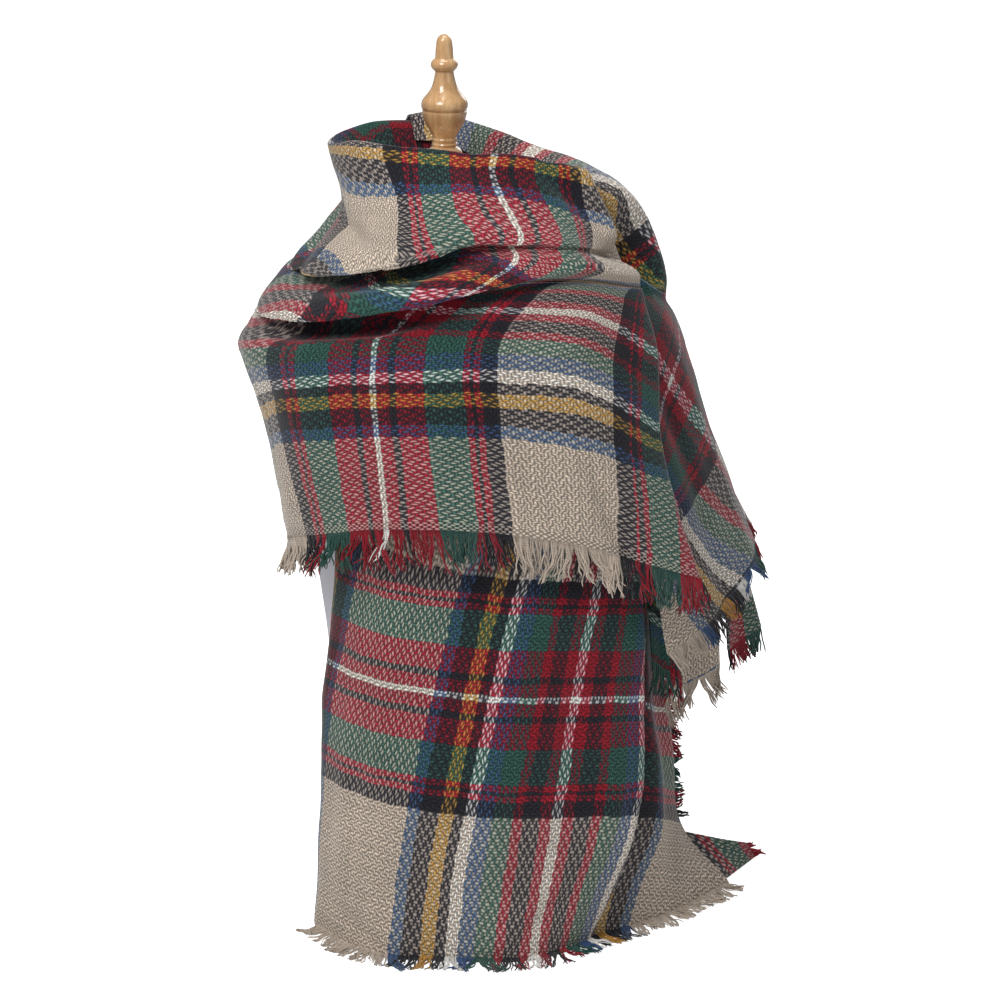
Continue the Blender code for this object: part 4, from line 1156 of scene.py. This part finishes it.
@cache
def materials():
    """All materials of the piece, by name."""
    yarns = bpy.context.scene.scarf_yarns
    weave = weave_group(yarns, bpy.context.scene.scarf_settings)
    recipes = {
        "tartan": (weave, CLOTH_UV, CLOTH_BUMP, WOOL, {"Hem": -HEM_TO_PIVOT}),
        "tartan_side": (weave, CLOTH_UV, CLOTH_BUMP, WOOL, {"Fineness": SIDE_FINENESS}),
        "tartan_end": (weave, CLOTH_UV, CLOTH_BUMP, WOOL, {"Warp_Ends": float(TAIL_END)}),
        "cover": (jersey_group(yarns), "Object", COVER_BUMP, COVER, {}),
        "wood": (wood_group(yarns), "Object", WOOD_BUMP, VARNISH, {}),
    }
    for sett in SETT_COLUMN:
        recipes["yarn_" + sett] = (yarn_group(yarns, sett), CLOTH_UV, YARN_BUMP, WOOL, {})
    return {name: finish(name, *recipe) for name, recipe in recipes.items()}


# ---------------------------------------------------------------- the pieces
def settled(thing, slot, *nodes):
    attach(thing, BODY)
    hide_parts(*nodes)
    return thing


def build_form():
    cover, wood = materials()["cover"], materials()["wood"]
    heights = [row[0] for row in TORSO_SECTIONS]
    fine = np.linspace(0, heights[-1], TORSO_RINGS)
    shape = weights(heights, fine) @ np.array([row[1:] for row in TORSO_SECTIONS], float)
    body = [(height, *half) for height, half in zip(fine, shape)]
    sole = (0, body[0][1] - FOOT_EDGE, body[0][2] - FOOT_EDGE)
    profile = [(0, 0, 0), sole, (FOOT_EDGE, *body[0][1:]), *body[1:], (heights[-1], 0, 0)]
    settled(turned_object("cover_torso", profile, TORSO_SIDES, cover), "form_cover", "form_torso")
    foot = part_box("form_cap")[0][2] / MM
    cap = [(foot + height, radius) for height, radius in CAP_PROFILE]
    settled(turned_object("turned_cap", cap, TURNED_SIDES, wood), "varnished_wood", "form_cap")
    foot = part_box("form_finial")[0][2] / MM
    finial = [(foot, 0)] + [(foot + height, radius) for height, radius in FINIAL_PROFILE]
    settled(turned_object("turned_finial", finial, TURNED_SIDES, wood), "varnished_wood", "form_finial")


def fringe_piece(name, hem, sizes):
    material = materials()["yarn_" + FRINGES[name][-1]]
    thing = strands(name, hem, sizes.strand_pitch / MM, sizes.strand_radius / MM, material)
    return settled(thing, "fringe", "fringe_" + name)


def build_wrap(sizes):
    stretch = wrap_stretch(sizes.mesh_step / MM)
    cloth = cloth_object("cloth_wrap", stretch, sizes.thickness, materials()["tartan"])
    nodes = ("cowl", "cowl_back", "roll", "front_panel", "back_panel")
    settled(cloth, "tartan", *("scarf_" + node for node in nodes))
    parting = int(np.searchsorted(stretch.columns, PANEL_PARTING))
    sides = {"back_hem": slice(None, parting + 1), "front_hem": slice(parting, None)}
    fringes = [
        fringe_piece(name, hem_of(stretch, name, sizes.thickness, side), sizes)
        for name, side in sides.items()
    ]


def build_drape(sizes):
    step = sizes.mesh_step / MM
    stretch = drape_stretch(step)
    cloth = cloth_object("cloth_drape", stretch, sizes.thickness, materials()["tartan_side"])
    settled(cloth, "tartan", "scarf_shoulder_fold", "scarf_drape")
    hem = fringe_piece("drape_hem", hem_of(stretch, "drape_hem", sizes.thickness), sizes)
    for name, *layer in DRAPE_LAYERS:
        stretch = layer_stretch(step, *layer)
        cloth = cloth_object("cloth_" + name, stretch, sizes.thickness, materials()["tartan_end"])
        settled(cloth, "tartan", "scarf_" + name)
        hem = fringe_piece(name, hem_of(stretch, name, sizes.thickness), sizes)


def build_tail(sizes):
    stretch = tail_stretch(sizes.mesh_step / MM)
    end = materials()["tartan_end"]
    cloth = cloth_object("cloth_tail", stretch, sizes.thickness, end)
    settled(cloth, "tartan", "scarf_tail", "scarf_tail_side")
    normals = stretch.normals
    left = int(np.searchsorted(stretch.columns, TAIL_LEFT))
    floor = int(np.searchsorted(stretch.rows, TAIL_FLOOR_ROW))
    flat = unit(normals[floor, left:] * (1, 1, 0))
    points = stretch.points[floor, left:] * (1, 1, FLOOR_HEM_HEIGHT) - flat * sizes.thickness / MM / 2
    up = np.broadcast_to((0.0, 0.0, 1.0), flat.shape)
    way = flat + (0, 0, TAIL_HEM_DIP)
    hem = Hem(points, up, way, way, stretch.threads[floor, left:])
    fringes = [fringe_piece("tail_hem", hem, sizes)]
    top, low = np.searchsorted(stretch.rows, SIDE_FRINGE_ROWS)
    points, outward = stretch.points[top:low, -1], normals[top:low, -1]
    way = np.broadcast_to(TAIL_SIDE_WAY, points.shape)
    side = Hem(points - outward, outward, way, way, stretch.threads[top:low, -1])
    fringes.append(fringe_piece("tail_side", side, sizes))
    stretch = corner_stretch(sizes.mesh_step / MM, sizes.thickness / MM)
    corner = cloth_object("cloth_tail_corner", stretch, sizes.thickness, end)
    settled(corner, "tartan", "scarf_tail_corner")
    points, outward = stretch.points[:, -1], stretch.normals[:, -1]
    way = np.broadcast_to(TAIL_CORNER_WAY, points.shape)
    hem = Hem(points - outward, outward, way, way, stretch.threads[:, -1])
    tip = fringe_piece("tail_corner", hem, sizes)


def build_stage():
    scene = bpy.context.scene
    scene.view_settings.view_transform = "Standard"
    scene.view_settings.look = "None"
    material = bpy.data.materials.new("stage_white")
    material.use_nodes = True
    tree = Tree(material.node_tree)
    shader = material.node_tree.nodes["Principled BSDF"]
    place = tree.add("TexCoord").outputs["Object"]
    cloudy = noise(tree, place, STAGE_CLOUDS, dimensions="3D").outputs["Fac"]
    pale = tree.mix(cloudy, *STAGE_SHADES)
    tree.feed(shader, Base_Color=pale, Roughness=1.0)
    shader.inputs["Specular IOR Level"].default_value = 0.0
    seen = tree.add("LightPath").outputs["Is Camera Ray"]
    tree.feed(shader, Emission_Color=tree.mix(seen, (0, 0, 0, 1), (1, 1, 1, 1)))
    shader.inputs["Emission Strength"].default_value = STAGE_GLOW
    half = FLOOR_SIZE / 2
    turn = np.linspace(0, math.pi / 2, BACKDROP_STEPS)
    rise = [(half - BACKDROP + BACKDROP * math.sin(t), BACKDROP - BACKDROP * math.cos(t)) for t in turn]
    profile = [(-half, 0), *rise, (half, half)]
    vertices = np.array([(side, y, z) for y, z in profile for side in (-half, half)]) / MM
    faces = grid_faces(np.arange(len(vertices)).reshape(len(profile), 2))[:, ::-1]
    backdrop = mesh_object("stage_backdrop", vertices, faces, material)
    backdrop.location.z = STAGE_HEIGHT
    aim = bpy.data.objects.new("aim", None)
    aim.location = AIM
    scene.collection.objects.link(aim)
    for name, place, size, power, colour in LIGHTS:
        lamp = bpy.data.lights.new(name, "AREA")
        lamp.size, lamp.energy, lamp.color = size, power, colour
        thing = bpy.data.objects.new(name, lamp)
        thing.location = place
        scene.collection.objects.link(thing)
        follow = thing.constraints.new("TRACK_TO")
        follow.target = aim
        follow.track_axis, follow.up_axis = "TRACK_NEGATIVE_Z", "UP_Y"
    world = bpy.data.worlds.new("studio")
    world.use_nodes = True
    world.node_tree.nodes["Background"].inputs["Color"].default_value = (1, 1, 1, 1)
    world.node_tree.nodes["Background"].inputs["Strength"].default_value = WORLD_STRENGTH
    scene.world = world
    lens = bpy.data.cameras.new("camera")
    lens.lens = CAMERA_LENS
    lens.sensor_width = SENSOR
    camera = bpy.data.objects.new("camera", lens)
    camera.location = CAMERA_PLACE
    camera.rotation_euler = (math.radians(90 - CAMERA_TILT), 0, 0)
    scene.collection.objects.link(camera)
    scene.camera = camera


# ---------------------------------------------------------------- operators and panel
class SCARF_OT_form(bpy.types.Operator):
    """Build the dress form's cover, cap and finial"""

    bl_idname = "scarf.form"
    bl_label = "Dress Form"

    def execute(self, context):
        build_form()
        return {"FINISHED"}


class SCARF_OT_wrap(bpy.types.Operator):
    """Build the wound cowl, roll and panels with their fringed hem"""

    bl_idname = "scarf.wrap"
    bl_label = "Wrap"

    def execute(self, context):
        build_wrap(context.scene.scarf_settings)
        return {"FINISHED"}


class SCARF_OT_drape(bpy.types.Operator):
    """Build the shoulder drape and the folded layers under it"""

    bl_idname = "scarf.drape"
    bl_label = "Shoulder Drape"

    def execute(self, context):
        build_drape(context.scene.scarf_settings)
        return {"FINISHED"}


class SCARF_OT_tail(bpy.types.Operator):
    """Build the tail that hangs down to the table"""

    bl_idname = "scarf.tail"
    bl_label = "Tail"

    def execute(self, context):
        build_tail(context.scene.scarf_settings)
        return {"FINISHED"}


class SCARF_OT_stage(bpy.types.Operator):
    """Build the pale stage with its lights and camera"""

    bl_idname = "scarf.stage"
    bl_label = "Stage"

    def execute(self, context):
        build_stage()
        return {"FINISHED"}


class SCARF_PT_panel(bpy.types.Panel):
    """The scarf's settings and build steps"""

    bl_label = "Scarf"
    bl_idname = "SCARF_PT_panel"
    bl_space_type = "VIEW_3D"
    bl_region_type = "UI"
    bl_category = "Scarf"

    def draw(self, context):
        for group in (context.scene.scarf_settings, context.scene.scarf_yarns):
            for name in group.__annotations__:
                self.layout.prop(group, name)
        for operator in OPERATORS:
            self.layout.operator(operator.bl_idname)


OPERATORS = (SCARF_OT_form, SCARF_OT_wrap, SCARF_OT_drape, SCARF_OT_tail, SCARF_OT_stage)
CLASSES = (ScarfYarns, ScarfSettings, *OPERATORS, SCARF_PT_panel)


def register():
    for cls in CLASSES:
        bpy.utils.register_class(cls)
    bpy.types.Scene.scarf_yarns = bpy.props.PointerProperty(type=ScarfYarns)
    bpy.types.Scene.scarf_settings = bpy.props.PointerProperty(type=ScarfSettings)


def unregister():
    del bpy.types.Scene.scarf_yarns
    del bpy.types.Scene.scarf_settings
    for cls in reversed(CLASSES):
        bpy.utils.unregister_class(cls)


def main():
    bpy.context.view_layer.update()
    register()
    bpy.ops.scarf.form()
    bpy.ops.scarf.wrap()
    bpy.ops.scarf.drape()
    bpy.ops.scarf.tail()
    bpy.ops.scarf.stage()


if __name__ == "__main__":
    main()
